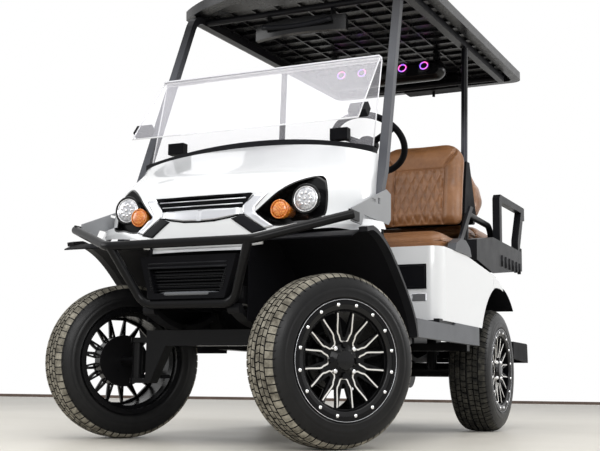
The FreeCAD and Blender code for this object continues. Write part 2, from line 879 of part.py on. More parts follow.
def grille_outline(grow):
    top, low = grille_half_top + grow, grille_half_bottom + grow
    return [(-top, grille_top_z + grow), (top, grille_top_z + grow), (low, grille_bottom_z - grow),
            (-low, grille_bottom_z - grow)]


def grille_hole():
    y0 = front_axle_y - 2 * nose_overhang
    return front_prism(grille_outline(fit), y0, y0 + 2 * nose_overhang)


def front_cowl():
    outer = cowl_mass(0)
    inner = cowl_mass(wall)
    inner.translate(V(0, 0, -wall))
    shell = outer.cut(inner)
    shell = shell.common(crown_arch(0))
    shell = shell.cut(behind_cowl())
    for side in (1, -1):
        x0, x1 = sorted((side * liner_inner_x, side * (body_half_width + overrun)))
        shell = shell.cut(arch_cylinder(arch_radius + flare_height + fit, x0, x1))
    holes = [bezel_hole(), mirrored(bezel_hole()), grille_hole()]
    return shell.cut(Part.makeCompound(holes))


def cowl_trim():
    """Dark arched strip that the screen stands on."""
    band = crown_arch(trim_height).cut(crown_arch(fit))
    top_z = cowl_bottom_z + cowl_height
    y1 = strut_front_y(top_z)
    half = strut_top_x + strut_size / 3
    band = band.common(block(-half, half, y1 - trim_depth, y1, cowl_bottom_z, top_z + 2 * trim_height))
    return band


def front_grille():
    """Slotted insert: a frame with a bright bar across."""
    y0 = lamp_y(grille_half_bottom, grille_bottom_z)
    body = front_prism(grille_outline(0), y0, y0 + grille_depth)
    middle = (grille_top_z + grille_bottom_z) / 2
    slots = []
    spans = [(grille_bottom_z + 2 * grille_bar, middle - grille_bar / 2),
             (middle + grille_bar / 2, grille_top_z - grille_bar)]
    for low, high in spans:
        half = grille_half_bottom - grille_bar
        slots.append(front_prism([(-half, low), (half, low), (half + grille_bar, high),
                                  (-half - grille_bar, high)], y0 - overrun, y0 + grille_depth - wall))
    return body.cut(Part.makeCompound(slots))


def headlight_bezel():
    """Deep almond cup that holds the lamps, closed at the back."""
    y0 = front_axle_y - 2 * nose_overhang
    y1 = lamp_y(lamp_x, lamp_z) + bezel_depth
    cup = smooth_prism(bezel_outline(bezel_wall), y0, y1)
    cup = cup.common(cowl_mass(0))
    cup = cup.cut(smooth_prism(bezel_outline(0), y0, y1 - bezel_wall))
    lamp = cylinder(V(lamp_x, y0, lamp_z), V(lamp_x, y1 + overrun, lamp_z), lamp_radius / 2)
    return cup.cut(lamp)


def headlight():
    y1 = lamp_y(lamp_x, lamp_z) + bezel_depth - bezel_wall - fit
    y0 = y1 - lamp_depth - bezel_depth / 3
    bowl = Part.makeCone(lamp_radius * 0.55, lamp_radius - lamp_rim, y1 - y0 - lamp_rim,
                         V(lamp_x, y1, lamp_z), V(0, -1, 0))
    lens = cylinder(V(lamp_x, y0 + lamp_rim, lamp_z), V(lamp_x, y0, lamp_z), lamp_radius - lamp_rim)
    ring = cylinder(V(lamp_x, y0 + 2 * lamp_rim, lamp_z), V(lamp_x, y0 - 1 * fit, lamp_z), lamp_radius)
    ring = ring.cut(cylinder(V(lamp_x, y0 + overrun, lamp_z), V(lamp_x, y0 - overrun, lamp_z),
                             lamp_radius - lamp_rim))
    return fused([bowl, lens, ring])


def turn_signal():
    """Round lamp on a stem that stands on the cup's back."""
    y1 = lamp_y(lamp_x, lamp_z) + bezel_depth - bezel_wall - fit
    y0 = lamp_y(signal_x, signal_z) + signal_depth
    stem = Part.makeCone(signal_radius * 0.6, signal_radius, y1 - y0, V(signal_x, y1, signal_z), V(0, -1, 0))
    dome = Part.makeSphere(signal_radius, V(signal_x, y0, signal_z), V(0, -1, 0), 0, 90, 360)
    dome = dome.common(block(signal_x - 2 * signal_radius, signal_x + 2 * signal_radius,
                             y0 - signal_radius * 0.7, y0, signal_z - 2 * signal_radius,
                             signal_z + 2 * signal_radius))
    return fused([stem, dome])


def wheel_well_liner():
    """Dark arch over each front wheel with an upright inner wall."""
    pieces = []
    x1 = body_half_width - flare_proud / 2 - fit
    ring = arch_cylinder(arch_radius + wall, liner_inner_x, x1)
    ring = ring.cut(arch_cylinder(arch_radius, liner_inner_x - overrun, x1 + overrun))
    keep_low = arch_z + wall
    front_y = front_axle_y - nose_overhang + wall
    keep = block(0, 2 * body_half_width, front_y, front_axle_y + 2 * arch_radius, keep_low,
                 arch_z + 2 * arch_radius)
    ring = ring.common(keep)
    wall_x0 = liner_inner_x
    inner_wall = arch_cylinder(arch_radius, wall_x0, wall_x0 + wall).common(
        block(0, body_half_width, front_y, front_axle_y + arch_radius, axle_z + kingpin_tube_height,
              arch_z + arch_radius))
    side = fused([ring, inner_wall])
    pieces.append(side)
    pieces.append(mirrored(side))
    return Part.makeCompound(pieces)


def fender_flare():
    x0 = body_half_width - flare_proud / 2
    ring = arch_cylinder(arch_radius + flare_height, x0, x0 + flare_width)
    ring = ring.cut(arch_cylinder(arch_radius - fit, x0 - overrun, x0 + flare_width + overrun))
    reach = 3 * arch_radius
    start, end = math.radians(flare_start_angle), math.radians(flare_end_angle)
    middle = (start + end) / 2
    wedge = [(0, 0)] + [(math.cos(a) * reach, math.sin(a) * reach) for a in (start, middle, end)]
    sector = side_prism([(front_axle_y + y, arch_z + z) for y, z in wedge], x0 - overrun,
                        x0 + flare_width + overrun)
    return ring.common(sector)


def bumper_panel():
    """Dark lower panel with a recessed slatted opening."""
    y0 = front_axle_y - panel_front
    y1 = front_axle_y - rail_front_end - fit
    outline = [(-panel_half_top, panel_top_z), (panel_half_top, panel_top_z),
               (panel_half_bottom, panel_bottom_z), (-panel_half_bottom, panel_bottom_z)]
    body = front_prism(outline, y0, y1)
    b = panel_border
    low, high = panel_bottom_z + b, panel_top_z - 2 * b
    top_half = panel_half_top - 2 * b
    low_half = panel_half_bottom - b
    hole = front_prism([(-top_half, high), (top_half, high), (low_half, low), (-low_half, low)],
                       y0 - overrun, y1 - wall)
    body = body.cut(hole)
    slats = []
    pitch = (high - low) / (panel_slats + 1)
    for k in range(1, panel_slats + 1):
        z = low + k * pitch
        half = low_half + (top_half - low_half) * (z - low) / (high - low) + wall / 4
        slats.append(block(-half, half, y0 + panel_recess, y1 - wall / 2,
                           z - panel_slat / 2, z + panel_slat / 2))
    return fused([body] + slats)


def brush_guard():
    """Upper tube round the nose to the strut brackets, and a lower hoop."""
    y0 = front_axle_y - guard_front
    side_y = front_axle_y - guard_side_y
    top = [V(guard_side_x, side_y, guard_side_z), V(guard_top_half, y0, guard_top_z)]
    path = top + [V(-p.x, p.y, p.z) for p in reversed(top)]
    upper = bent_tube(path, guard_radius, guard_bend)
    low_y = front_axle_y - guard_low_front
    hang = guard_top_half - guard_radius
    down = [V(hang, y0, guard_top_z), V(guard_low_half, low_y, guard_low_z),
            V(-guard_low_half, low_y, guard_low_z), V(-hang, y0, guard_top_z)]
    lower = bent_tube(down, guard_radius, guard_bend)
    tab_x = strut_foot_x + strut_size / 2 + 2 * fit + bracket_thickness
    tab = block(tab_x, tab_x + bracket_thickness, side_y - guard_radius, side_y + guard_tab,
                guard_side_z - guard_radius, guard_side_z + guard_radius)
    bar = block(rail_x - rail_width / 2, guard_low_half - guard_radius, low_y,
                front_axle_y - rail_front_end - fit, guard_low_z, guard_low_z + guard_radius)
    return fused([upper, lower, tab, mirrored(tab), bar, mirrored(bar)])


# Rockers and rear body

def rocker():
    y0 = front_axle_y + arch_radius + rocker_front_gap
    y1 = rear_axle_y - rear_arch_radius - rocker_front_gap
    step_y = box_front_y + rocker_step_back
    top = rocker_z + rocker_height
    outline = [(y0 + rocker_step, rocker_z), (y1, rocker_z), (y1, top + rocker_step),
               (step_y + rocker_step, top + rocker_step), (step_y, top), (y0, top)]
    x0 = floor_half_width + fit
    return side_prism(outline, x0, x0 + rocker_thickness)


def box_outline(inset):
    tail_y = rear_axle_y - rear_arch_radius * 0.22
    y0 = box_front_y + inset
    y1 = rear_axle_y - rear_arch_radius * 0.7
    return [(y0, box_low_z - inset), (y1, box_low_z - inset), (tail_y - inset, box_tail_z - 2 * inset),
            (tail_y - inset, box_tail_z - inset), (box_slope_y, box_top_z - inset), (y0, box_top_z - inset)]


def box_solid(inset):
    half = box_half_width - inset
    solid = side_prism(box_outline(inset), -half, half)
    front_edges = [e for e in solid.Edges if runs_along(e, axis_z)
                   and abs(e.CenterOfMass.y - box_front_y - inset) < wall]
    return solid.makeFillet(box_corner - inset, front_edges)


def rear_body():
    """Moulded body under the seats: open below, with openings for the batteries and the seat posts."""
    shell = box_solid(0).cut(box_solid(wall))
    arch = cylinder(V(-body_half_width * 2, rear_axle_y, axle_z), V(body_half_width * 2, rear_axle_y, axle_z),
                    rear_arch_radius)
    hatch = block(-hatch_half, hatch_half, hatch_front, hatch_back, box_top_z - 4 * wall, box_top_z + overrun)
    seat_cut = block(-body_half_width * 2, body_half_width * 2, box_front_y - overrun, tray_rear_y,
                     box_low_z - overrun, rocker_z + rocker_height + rocker_step + fit)
    return shell.cut(arch).cut(hatch).cut(seat_cut)


def charger_plate():
    y0 = box_front_y - plate_thickness
    half = plate_size / 2
    return block(plate_x - plate_width, plate_x, y0, box_front_y - fit, plate_z - half, plate_z + half)


def rear_liner():
    """Dark inner arch over each rear wheel."""
    x0, x1 = rear_wheel_x - tyre_width / 2, box_half_width - wall - fit
    outer = cylinder(V(x0, rear_axle_y, axle_z), V(x1, rear_axle_y, axle_z), rear_arch_radius - fit)
    inner = cylinder(V(x0 - overrun, rear_axle_y, axle_z), V(x1 + overrun, rear_axle_y, axle_z),
                     rear_arch_radius - wall)
    ring = outer.cut(inner)
    keep = block(0, body_half_width * 2, rear_axle_y - 2 * rear_arch_radius, rear_axle_y + rear_arch_radius * 0.65,
                 rocker_z + rocker_height + rocker_step, box_top_z)
    return ring.common(keep)


# Roof

def roof_outline_wire(inset, z):
    half = roof_half_width - inset
    length = roof_rear_y - roof_front_y
    y0, y1 = inset, length - inset
    corner = roof_corner - inset * 0.5
    bow = roof_bow - inset * 0.3
    front = Part.Arc(V(-half, y0, z), V(0, y0 - bow, z), V(half, y0, z)).toShape()
    points = [V(half, y0, z), V(half, y1 - corner, z), V(half - corner, y1, z),
              V(corner - half, y1, z), V(-half, y1 - corner, z), V(-half, y0, z)]
    edges = [front, Part.makeLine(points[0], points[1])]
    diagonal = corner * (1 - math.sqrt(0.5))
    edges.append(Part.Arc(points[1], V(half - diagonal, y1 - diagonal, z), points[2]).toShape())
    edges.append(Part.makeLine(points[2], points[3]))
    edges.append(Part.Arc(points[3], V(diagonal - half, y1 - diagonal, z), points[4]).toShape())
    edges.append(Part.makeLine(points[4], points[5]))
    return Part.Wire(edges)


def roof_slab(inset, z0, z1):
    return Part.Face(roof_outline_wire(inset, z0)).extrude(V(0, 0, z1 - z0))


def placed_on_roof(shape):
    """From flat roof coordinates, with Y from the front corners, to the sloping roof."""
    length = roof_rear_y - roof_front_y
    slope = math.degrees(math.atan2(roof_rear_z - roof_front_z, length))
    shape.rotate(V(0, 0, 0), axis_x, slope)
    shape.translate(V(0, roof_front_y, roof_front_z))
    return shape


def roof():
    lip = roof_slab(0, 0, roof_lip)
    crown = Part.makeLoft([roof_outline_wire(0, roof_lip), roof_outline_wire(roof_crown_inset, roof_lip + roof_crown)],
                          True, True)
    body = lip.fuse(crown)
    under = roof_lip + roof_crown - roof_sheet - rib_depth
    body = body.cut(roof_slab(roof_border, -overrun, under - rib_depth))
    length = roof_rear_y - roof_front_y
    cells = []
    across = int((roof_half_width - roof_border - roof_crown_inset) / rib_pitch)
    along = int((length - 2 * roof_border - roof_crown_inset) / rib_pitch)
    for i in range(-across, across + 1):
        for j in range(along):
            x, y = i * rib_pitch, 2 * roof_border + (j + 0.5) * rib_pitch
            half = (rib_pitch - rib_width) / 2
            cells.append(block(x - half, x + half, y - half, y + half, under - 2 * rib_depth, under))
    body = body.cut(Part.makeCompound(cells))
    return placed_on_roof(body.removeSplitter())


def rib_low_z():
    """Underside of the roof's ribs, in flat roof coordinates."""
    return roof_lip + roof_crown - roof_sheet - 2 * rib_depth


def roof_under_z(y):
    return roof_front_z + (roof_rear_z - roof_front_z) * (y - roof_front_y) / (roof_rear_y - roof_front_y)


def roof_frame():
    """Bent square tubes that run from the arch up the screen and back under the roof."""
    slope = (roof_rear_z - roof_front_z) / (roof_rear_y - roof_front_y)
    drop = strut_size / 2 * math.hypot(1, slope) + fit
    top_z = roof_under_z(strut_top_y) - drop
    end_z = top_z + slope * (rail_end_y - strut_top_y)
    foot_drop = strut_foot_z - (arch_z + arch_radius * 0.8)
    foot = V(strut_foot_x, strut_foot_y - foot_drop * (strut_knee_y - strut_foot_y) / (strut_knee_z - strut_foot_z),
             strut_foot_z - foot_drop)
    knee = V(strut_foot_x, strut_knee_y, strut_knee_z)
    path = [foot, knee, V(strut_top_x, strut_top_y, top_z), V(strut_top_x, rail_end_y, end_z)]
    side = square_tube(path, strut_size, strut_bend)
    side = side.cut(arch_cylinder(arch_radius + wall + fit, 0, body_half_width))
    above = block(0, roof_half_width, -roof_bow, rail_end_y - roof_front_y + overrun, -fit, overrun)
    side = side.cut(placed_on_roof(above))
    crosses = []
    for y in (roof_front_y + strut_size, rail_end_y - strut_size):
        z = roof_under_z(y) - drop
        crosses.append(cylinder(V(-strut_top_x, y, z), V(strut_top_x, y, z), cross_tube_radius))
    return fused([side, mirrored(side)] + crosses)


def rear_strut_ends():
    top_z = roof_under_z(rear_strut_top_y - strut_size) - strut_size - 4 * fit
    return (V(rear_strut_x, rear_strut_foot_y, tray_top_front_z), V(rear_strut_x, rear_strut_top_y, top_z))


def rear_strut():
    """Round post from the deck to a plate under the roof rail."""
    foot, top = rear_strut_ends()
    post = cylinder(foot, top, rear_strut_radius)
    post = post.cut(side_prism(tray_outline(-fit), 0, tray_half_width))
    head = block(rear_strut_x - rear_strut_radius, strut_top_x + strut_size / 2, rear_strut_top_y - strut_size,
                 rear_strut_top_y + strut_size, top.z - wall, top.z)
    return fused([post, head])


def strut_bracket():
    """Flat plate on the outside of each front strut with its two cut-outs."""
    x0 = strut_foot_x + strut_size / 2 + fit
    rest_z = bracket_low_z + bracket_hole * 1.7
    chamfer = bracket_hole
    step_y = bracket_front_y + 4 * bracket_hole
    outline = [(bracket_front_y, bracket_low_z + 2 * bracket_hole), (bracket_front_y, bracket_low_z),
               (step_y, bracket_low_z), (step_y + chamfer, rest_z), (bracket_back_y - chamfer, rest_z),
               (bracket_back_y, rest_z + chamfer), (bracket_back_y, bracket_top_z - chamfer / 2),
               (bracket_back_y - 2 * chamfer, bracket_top_z)]
    plate = side_prism(outline, x0, x0 + bracket_thickness)
    hole_y, hole_z = bracket_back_y - 6 * bracket_hole, bracket_top_z - 3 * bracket_hole
    hole = block(x0 - overrun, x0 + overrun, hole_y, hole_y + bracket_hole, hole_z, hole_z + bracket_hole)
    slot = block(x0 - overrun, x0 + overrun, hole_y - 3 * bracket_hole, hole_y - bracket_hole,
                 hole_z, hole_z + bracket_hole / 2)
    return plate.cut(hole).cut(slot)


# Screen

def sheet_between(low, high, half):
    """Flat clear sheet between two heights in the (y, z) plane."""
    run = V(0, high[0] - low[0], high[1] - low[1]).normalize()
    out = V(0, -run.z, run.y) * screen_thickness
    outline = [low, high, (high[0] + out.y, high[1] + out.z), (low[0] + out.y, low[1] + out.z)]
    return side_prism(outline, -half, half)


def screen_foot():
    z = cowl_bottom_z + cowl_height - cowl_crown
    return strut_front_y(z) - fit, z


def windscreen_lower():
    sheet = sheet_between(screen_foot(), (screen_top_y, screen_top_z), screen_half_width)
    return sheet.cut(crown_arch(trim_height + fit))


def folded_line():
    return (fold_free_y, fold_free_z), (screen_top_y - 4 * screen_thickness, screen_top_z + screen_thickness)


def windscreen_upper():
    free, top = folded_line()
    return sheet_between(free, top, screen_half_width)


def screen_fittings():
    """Hinge cap along the fold, edge clips on the upper panel and stops on the lower one."""
    y, z = screen_top_y - screen_thickness, screen_top_z + fit + screen_thickness / 4
    upper_y = y - 5 * screen_thickness
    upper_z = z + 1.5 * screen_thickness
    cap = side_prism([(upper_y, upper_z), (upper_y, upper_z + screen_thickness),
                      (y + 2 * screen_thickness, upper_z + screen_thickness), (y + 2 * screen_thickness, z),
                      (y, z), (y, upper_z)], -screen_half_width, screen_half_width)
    free, top = folded_line()
    run = V(0, top[0] - free[0], top[1] - free[1]).normalize()
    across = V(0, run.z, -run.y)
    pieces = [cap]
    start = V(clip_out_x, free[0], free[1]) + run * clip_height
    corners = [start + across * fit, start + across * clip_depth,
               start + across * clip_depth + run * clip_height, start + across * fit + run * clip_height]
    out_clip = face_of(corners).extrude(axis_x * clip_width)
    foot_y, foot_z = screen_foot()
    low_z = stop_z - clip_height / 2
    lower_y = foot_y + (screen_top_y - foot_y) * (low_z - foot_z) / (screen_top_z - foot_z) - 1.1 * screen_thickness
    stop = block(clip_in_x - clip_width / 2, clip_in_x + clip_width / 2, lower_y - clip_depth, lower_y - fit,
                 stop_z - clip_height / 2, stop_z + clip_height / 2)
    for clip in (out_clip, stop):
        pieces += [clip, mirrored(clip)]
    return Part.makeCompound(pieces)


# Overhead fittings

def mirror():
    """Wide bowed mirror hung from the front cross tube by two arms."""
    arc_out = Part.Arc(V(-mirror_half, mirror_y + mirror_bow, 0), V(0, mirror_y, 0),
                       V(mirror_half, mirror_y + mirror_bow, 0)).toShape()
    arc_in = Part.Arc(V(mirror_half, mirror_y + mirror_bow + mirror_thickness, 0),
                      V(0, mirror_y + mirror_thickness, 0),
                      V(-mirror_half, mirror_y + mirror_bow + mirror_thickness, 0)).toShape()
    ends = [Part.makeLine(arc_out.Vertexes[-1].Point, arc_in.Vertexes[0].Point),
            Part.makeLine(arc_in.Vertexes[-1].Point, arc_out.Vertexes[0].Point)]
    bar = Part.Face(Part.Wire([arc_out, ends[0], arc_in, ends[1]])).extrude(V(0, 0, mirror_height))
    bar.translate(V(0, 0, mirror_z - mirror_height / 2))
    tube_y = roof_front_y + strut_size
    tube_z = roof_under_z(tube_y) - strut_size / 2 - fit
    arms = []
    for x in (-mirror_arm_x, mirror_arm_x):
        arms.append(block(x - mirror_arm / 2, x + mirror_arm / 2, tube_y - cross_tube_radius, tube_y + cross_tube_radius,
                          mirror_z, tube_z - cross_tube_radius - fit))
    return fused([bar] + arms)


def soundbar():
    """Capsule with a row of speakers, hung from the roof's ribs by two straps."""
    y, z = soundbar_y - roof_front_y, -soundbar_drop
    centre = V(0, y, z)
    half = soundbar_half - soundbar_radius
    body = cylinder(centre - axis_x * half, centre + axis_x * half, soundbar_radius)
    ends = [Part.makeSphere(soundbar_radius, centre + axis_x * (s * half)) for s in (1, -1)]
    bar = fused([body] + ends)
    cuts = []
    for k in range(speaker_count):
        x = (k - (speaker_count - 1) / 2) * speaker_pitch
        cuts.append(cylinder(V(x, y - soundbar_radius - overrun, z),
                             V(x, y - soundbar_radius + speaker_recess, z), speaker_radius))
    bar = bar.cut(Part.makeCompound(cuts))
    strap_x = round(half / rib_pitch - 0.5) * rib_pitch + rib_pitch / 2
    straps = [block(s * strap_x - soundbar_clamp / 2, s * strap_x + soundbar_clamp / 2, y - soundbar_clamp / 2,
                    y + soundbar_clamp / 2, z, rib_low_z() - fit) for s in (1, -1)]
    return placed_on_roof(fused([bar] + straps))


def roof_box():
    """Flat case under the rear of the roof with a hanging knob."""
    y1 = roof_rear_y - roof_front_y - roof_border - fit
    y0 = y1 - overhead_length
    case = block(overhead_x - overhead_half, overhead_x + overhead_half, y0, y1, -overhead_drop, rib_low_z() - fit)
    case = rounded(case, overhead_knob, lambda e: runs_along(e, axis_z))
    knob = Part.makeCylinder(overhead_knob, overhead_knob_drop,
                             V(overhead_x, (y0 + y1) / 2, -overhead_drop - overhead_knob_drop))
    return placed_on_roof(fused([case, knob]))


# Cab fittings

def dashboard():
    """Moulding behind the cowl's rear edge, with two open pockets."""
    top = cowl_bottom_z + cowl_height + trim_height / 2
    low = dash_low_z
    back = strut_front_y(low) + strut_size + dash_depth
    lip_z = top - cowl_crown
    outline = [(strut_front_y(low) + 2 * fit, low), (back, low), (back + dash_thickness, lip_z - 2 * dash_thickness),
               (back + dash_thickness, lip_z), (strut_front_y(top) + dash_thickness, top),
               (strut_front_y(top) - trim_depth / 2, top), (strut_front_y(lip_z) + 2 * fit, lip_z - fit),
               (strut_front_y(strut_knee_z) + 2 * fit, strut_knee_z)]
    body = side_prism(outline, -dash_half_width, dash_half_width).common(crown_arch(trim_height / 2))
    pockets = []
    high = lip_z - 2 * dash_thickness
    for x in (0, -2 * dash_pocket_half - dash_thickness):
        pockets.append(block(x - dash_pocket_half, x + dash_pocket_half, back - dash_depth,
                             back + overrun + dash_thickness, high - dash_pocket_height, high))
    rim_low = cowl_bottom_z + cowl_height - cowl_crown - fit
    y1 = strut_front_y(cowl_bottom_z + cowl_height) + fit
    rim = block(-body_half_width, body_half_width, y1 - 2 * trim_depth, y1, rim_low, top + overrun)
    return body.cut(Part.makeCompound(pockets)).cut(rim)


def column_direction():
    angle = math.radians(column_angle)
    return V(0, math.cos(angle), math.sin(angle))


def steering_column():
    """Tube from under the wheel's hub down to the toe board."""
    centre = V(wheel_x, wheel_y, wheel_z)
    run = column_direction()
    top = centre - run * (wheel_hub_height + fit)
    column = cylinder(top, centre - run * column_length, column_radius)
    front_y = front_axle_y + arch_radius + wall + fit
    beyond = side_prism([(front_y + floor_thickness + fit, floor_z), (front_y + floor_thickness + fit, toe_z),
                         (front_y + floor_thickness - toe_lean + fit, dash_low_z),
                         (front_y - 3 * arch_radius, dash_low_z), (front_y - 3 * arch_radius, floor_z)],
                        0, body_half_width)
    return column.cut(dashboard()).cut(beyond)


def steering_wheel():
    ring = Part.makeTorus(wheel_radius - wheel_grip, wheel_grip)
    hub = Part.makeCylinder(wheel_hub_radius, wheel_hub_height, V(0, 0, -wheel_hub_height))
    spokes = []
    for angle in (90, 210, 330):
        spoke = block(wheel_hub_radius / 2, wheel_radius - wheel_grip, -wheel_spoke / 2, wheel_spoke / 2,
                      -wheel_grip, 0)
        spoke.rotate(V(0, 0, 0), axis_z, angle)
        spokes.append(spoke)
    shape = fused([ring, hub] + spokes)
    shape.rotate(V(0, 0, 0), axis_x, column_angle - 90)
    shape.translate(V(wheel_x, wheel_y, wheel_z))
    return shape


def pedals():
    front_y = front_axle_y + arch_radius + wall + floor_thickness + 2 * fit
    pieces = []
    for k in range(2):
        x = pedal_x - k * pedal_pitch
        z0 = floor_z + floor_thickness + wall + fit
        pad = block(x - pedal_width / 2, x + pedal_width / 2, front_y + pedal_arm, front_y + pedal_arm + pedal_thickness,
                    z0 + pedal_height / 2, z0 + 1.5 * pedal_height)
        arm = block(x - pedal_arm / 2, x + pedal_arm / 2, front_y, front_y + pedal_arm + pedal_thickness,
                    z0, z0 + pedal_height)
        pieces.append(fused([pad, arm]))
    return Part.makeCompound(pieces)


# Seats

def pillow(x0, x1, y0, y1, z0, z1, radius):
    solid = block(x0, x1, y0, y1, z0, z1)
    return solid.makeFillet(radius, solid.Edges)


def seat_bottom_front():
    z0 = box_top_z + fit
    return pillow(-cushion_half_width, cushion_half_width, cushion_front_y, cushion_back_y, z0,
                  z0 + cushion_high, cushion_round)


def seat_bottom_rear():
    z0 = tray_top_z + fit
    return pillow(-rear_cushion_half, rear_cushion_half, rear_cushion_front, rear_cushion_back, z0,
                  z0 + rear_cushion_high, cushion_round)


def back_frame(low, run, lean, thickness):
    """Corner, direction up the face and direction through the pad, in the (y, z) plane."""
    up = V(0, lean, run).normalize()
    through = V(0, up.z, -up.y)
    if lean < 0:
        through = V(0, -up.z, up.y)
    return V(0, low[0], low[1]), up, through * thickness


def back_pad(low, run, lean, thickness, inner, outer):
    """Upright pad whose outward face starts at low and leans by lean over run."""
    corner, up, through = back_frame(low, run, lean, thickness)
    height = up * math.hypot(run, lean)
    face = face_of([p + axis_x * inner for p in (corner, corner + through, corner + through + height,
                                                 corner + height)])
    solid = face.extrude(axis_x * (outer - inner))
    return solid.makeFillet(cushion_round, solid.Edges)


def front_seat_backs():
    low = (back_front_y, back_low_z)
    return pair(back_pad(low, back_high, back_lean, back_thickness, back_inner_x, back_outer_x))


def rear_back_outline():
    """Pad seen from the side: straight toward the front and full toward the rear."""
    y, z, lean, high, bulge = rear_back_y, rear_back_z, rear_back_lean, rear_back_high, rear_back_bulge
    return [(y, z), (y - lean, z + high), (y - lean * 0.86, z + high * 1.13), (y - lean * 0.2, z + high * 0.95),
            (y + bulge * 0.5, z + high * 0.71), (y + bulge * 0.8, z + high * 0.44), (y + bulge * 0.74, z + high * 0.28),
            (y + bulge * 0.36, z + high * 0.04)]


def rear_seat_backs():
    return pair(side_prism(rear_back_outline(), back_inner_x, back_outer_x))


def rear_seat_ledge():
    """Fixed inner part of the rear seat, under the backs."""
    z0 = tray_top_z + fit
    return pillow(-rear_cushion_half, rear_cushion_half, ledge_front, rear_cushion_front - ledge_gap, z0,
                  z0 + ledge_high, ledge_gap)


def shell_outline():
    """Wedge between the front and the rear pads."""
    front, up, through = back_frame((back_front_y, back_low_z), back_high, back_lean,
                                    back_thickness + shell_gap)
    r = cushion_round
    low, high = front + through + up * r, front + through + up * (back_high - 2 * r)
    rear = rear_back_outline()
    return [(low.y, low.z), (rear[0][0] - shell_gap * 2, rear[0][1]),
            (rear[1][0] - shell_gap * 2, rear[1][1]), (high.y, high.z)]


def seat_back_shells():
    """Dark moulding that fills the wedge between the front and rear backs, around the roof post."""
    shell = side_prism(shell_outline(), back_inner_x + cushion_round / 2, back_outer_x - shell_gap)
    foot, top = rear_strut_ends()
    return pair(shell.cut(cylinder(foot, top, rear_strut_radius + fit)))


def support_cross_z():
    """Middle of the cross tube, just under the backs' shell."""
    low, high = shell_outline()[:2]
    slope = (high[1] - low[1]) / (high[0] - low[0])
    shell_z = low[1] + slope * (support_cross_y - low[0])
    return shell_z - (support_radius + fit) * math.hypot(1, slope)


def seat_support():
    """Arm tube on each side of the rear seat, with a cross tube that carries the backs."""
    foot_z = tray_top_front_z - wall
    path = [V(support_x, support_front_y, foot_z), V(support_x, support_front_y, support_z),
            V(support_x, support_back_y, support_z), V(support_x, support_back_y, foot_z)]
    side = bent_tube(path, support_radius, support_bend)
    z = support_cross_z()
    cross = cylinder(V(-support_x, support_cross_y, z), V(support_x, support_cross_y, z), support_radius)
    tube = fused([side, mirrored(side), cross])
    return tube.cut(side_prism(tray_outline(-fit), -tray_half_width, tray_half_width))


def hip_restraint():
    """Rounded base on the body's corner and a flat blade that leans back beside the seat."""
    z0 = box_top_z + fit
    x_in = cushion_half_width + cushion_side_gap
    x_out = hip_x + hip_base_width / 2 - fit
    y0, y1 = hip_base_y, hip_base_y + hip_base_length
    base = side_prism([(y0, z0), (y1, z0), (y1 - hip_base_length * 0.1, z0 + hip_base_height * 0.6),
                       (y1 - hip_base_length * 0.35, z0 + hip_base_height),
                       (y0 + hip_base_length * 0.35, z0 + hip_base_height),
                       (y0 + hip_base_length * 0.08, z0 + hip_base_height * 0.55)], x_in, x_out)
    foot_y = y0 + hip_base_length * 0.45
    w = hip_blade_width
    blade = side_prism([(foot_y, z0 + hip_base_height / 2), (foot_y + w, z0 + hip_base_height / 2),
                        (hip_top_y + w / 2, hip_top_z), (hip_top_y - w / 2, hip_top_z)],
                       x_in + wall, x_in + wall + hip_blade)
    return fused([base, blade])


def tray_outline(inset):
    return [(tray_front_y + inset, tray_low_front_z - inset), (tray_mid_y, tray_low_mid_z - inset),
            (tray_rear_y - inset, tray_low_rear_z - 2 * inset), (tray_rear_y - inset, tray_rear_top_z - inset),
            (rear_cushion_back + 2 * grab_bar - inset, tray_rear_top_z - inset),
            (rear_cushion_back + 2 * grab_bar - 2 * inset, tray_top_z - inset),
            (tray_mid_y, tray_top_z - inset), (tray_front_y + inset, tray_top_front_z - inset)]


def rear_tray():
    """Deck moulding behind the seats with a deep skirt, open below."""
    half = tray_half_width
    shell = side_prism(tray_outline(0), -half, half)
    hollow = side_prism(tray_outline(wall), wall - half, half - wall)
    hollow.translate(V(0, 0, -wall / 4))
    return shell.cut(hollow)


def flip_bracket():
    """Upright ear with the pin that the rear seat bottom turns on."""
    x0 = rear_cushion_half + cushion_side_gap
    y = rear_cushion_back - cushion_round
    z0 = tray_top_z + fit
    ear = side_prism([(y - 3 * flip_pin_radius, z0), (y + 3 * flip_pin_radius, z0),
                      (y + 2 * flip_pin_radius, flip_axis_z + 2 * flip_pin_radius),
                      (y - 2 * flip_pin_radius, flip_axis_z + 2 * flip_pin_radius)], x0, x0 + wall)
    pin = cylinder(V(x0, y, flip_axis_z), V(rear_cushion_half + fit, y, flip_axis_z), flip_pin_radius)
    return fused([ear, pin])


def grab_frame():
    """Moulded hand frame at each end of the rear seat."""
    z0 = tray_top_z + fit
    rear_z0 = tray_rear_top_z + fit
    top = grab_top_z
    rear_top = top + grab_rear_rise
    outer = [(grab_front_y, z0), (grab_front_y + grab_depth, z0),
             (grab_front_y + grab_depth, top - grab_bar), (grab_rear_y - grab_back_leg - grab_block, rear_top - grab_bar),
             (grab_back_foot_y - grab_back_leg / 2, rear_z0 + grab_bar), (grab_back_foot_y - grab_back_leg / 2, z0),
             (grab_back_foot_y - grab_back_leg / 2 + grab_back_leg, z0),
             (grab_rear_y - grab_block, rear_top - grab_bar - grab_block),
             (grab_rear_y, rear_top - grab_bar - grab_block), (grab_rear_y, rear_top),
             (grab_rear_y - grab_block, rear_top), (grab_front_y + grab_depth / 2, top), (grab_front_y, top - grab_depth / 2)]
    return side_prism(outer, grab_x - grab_width / 2, grab_x + grab_width / 2 - fit)


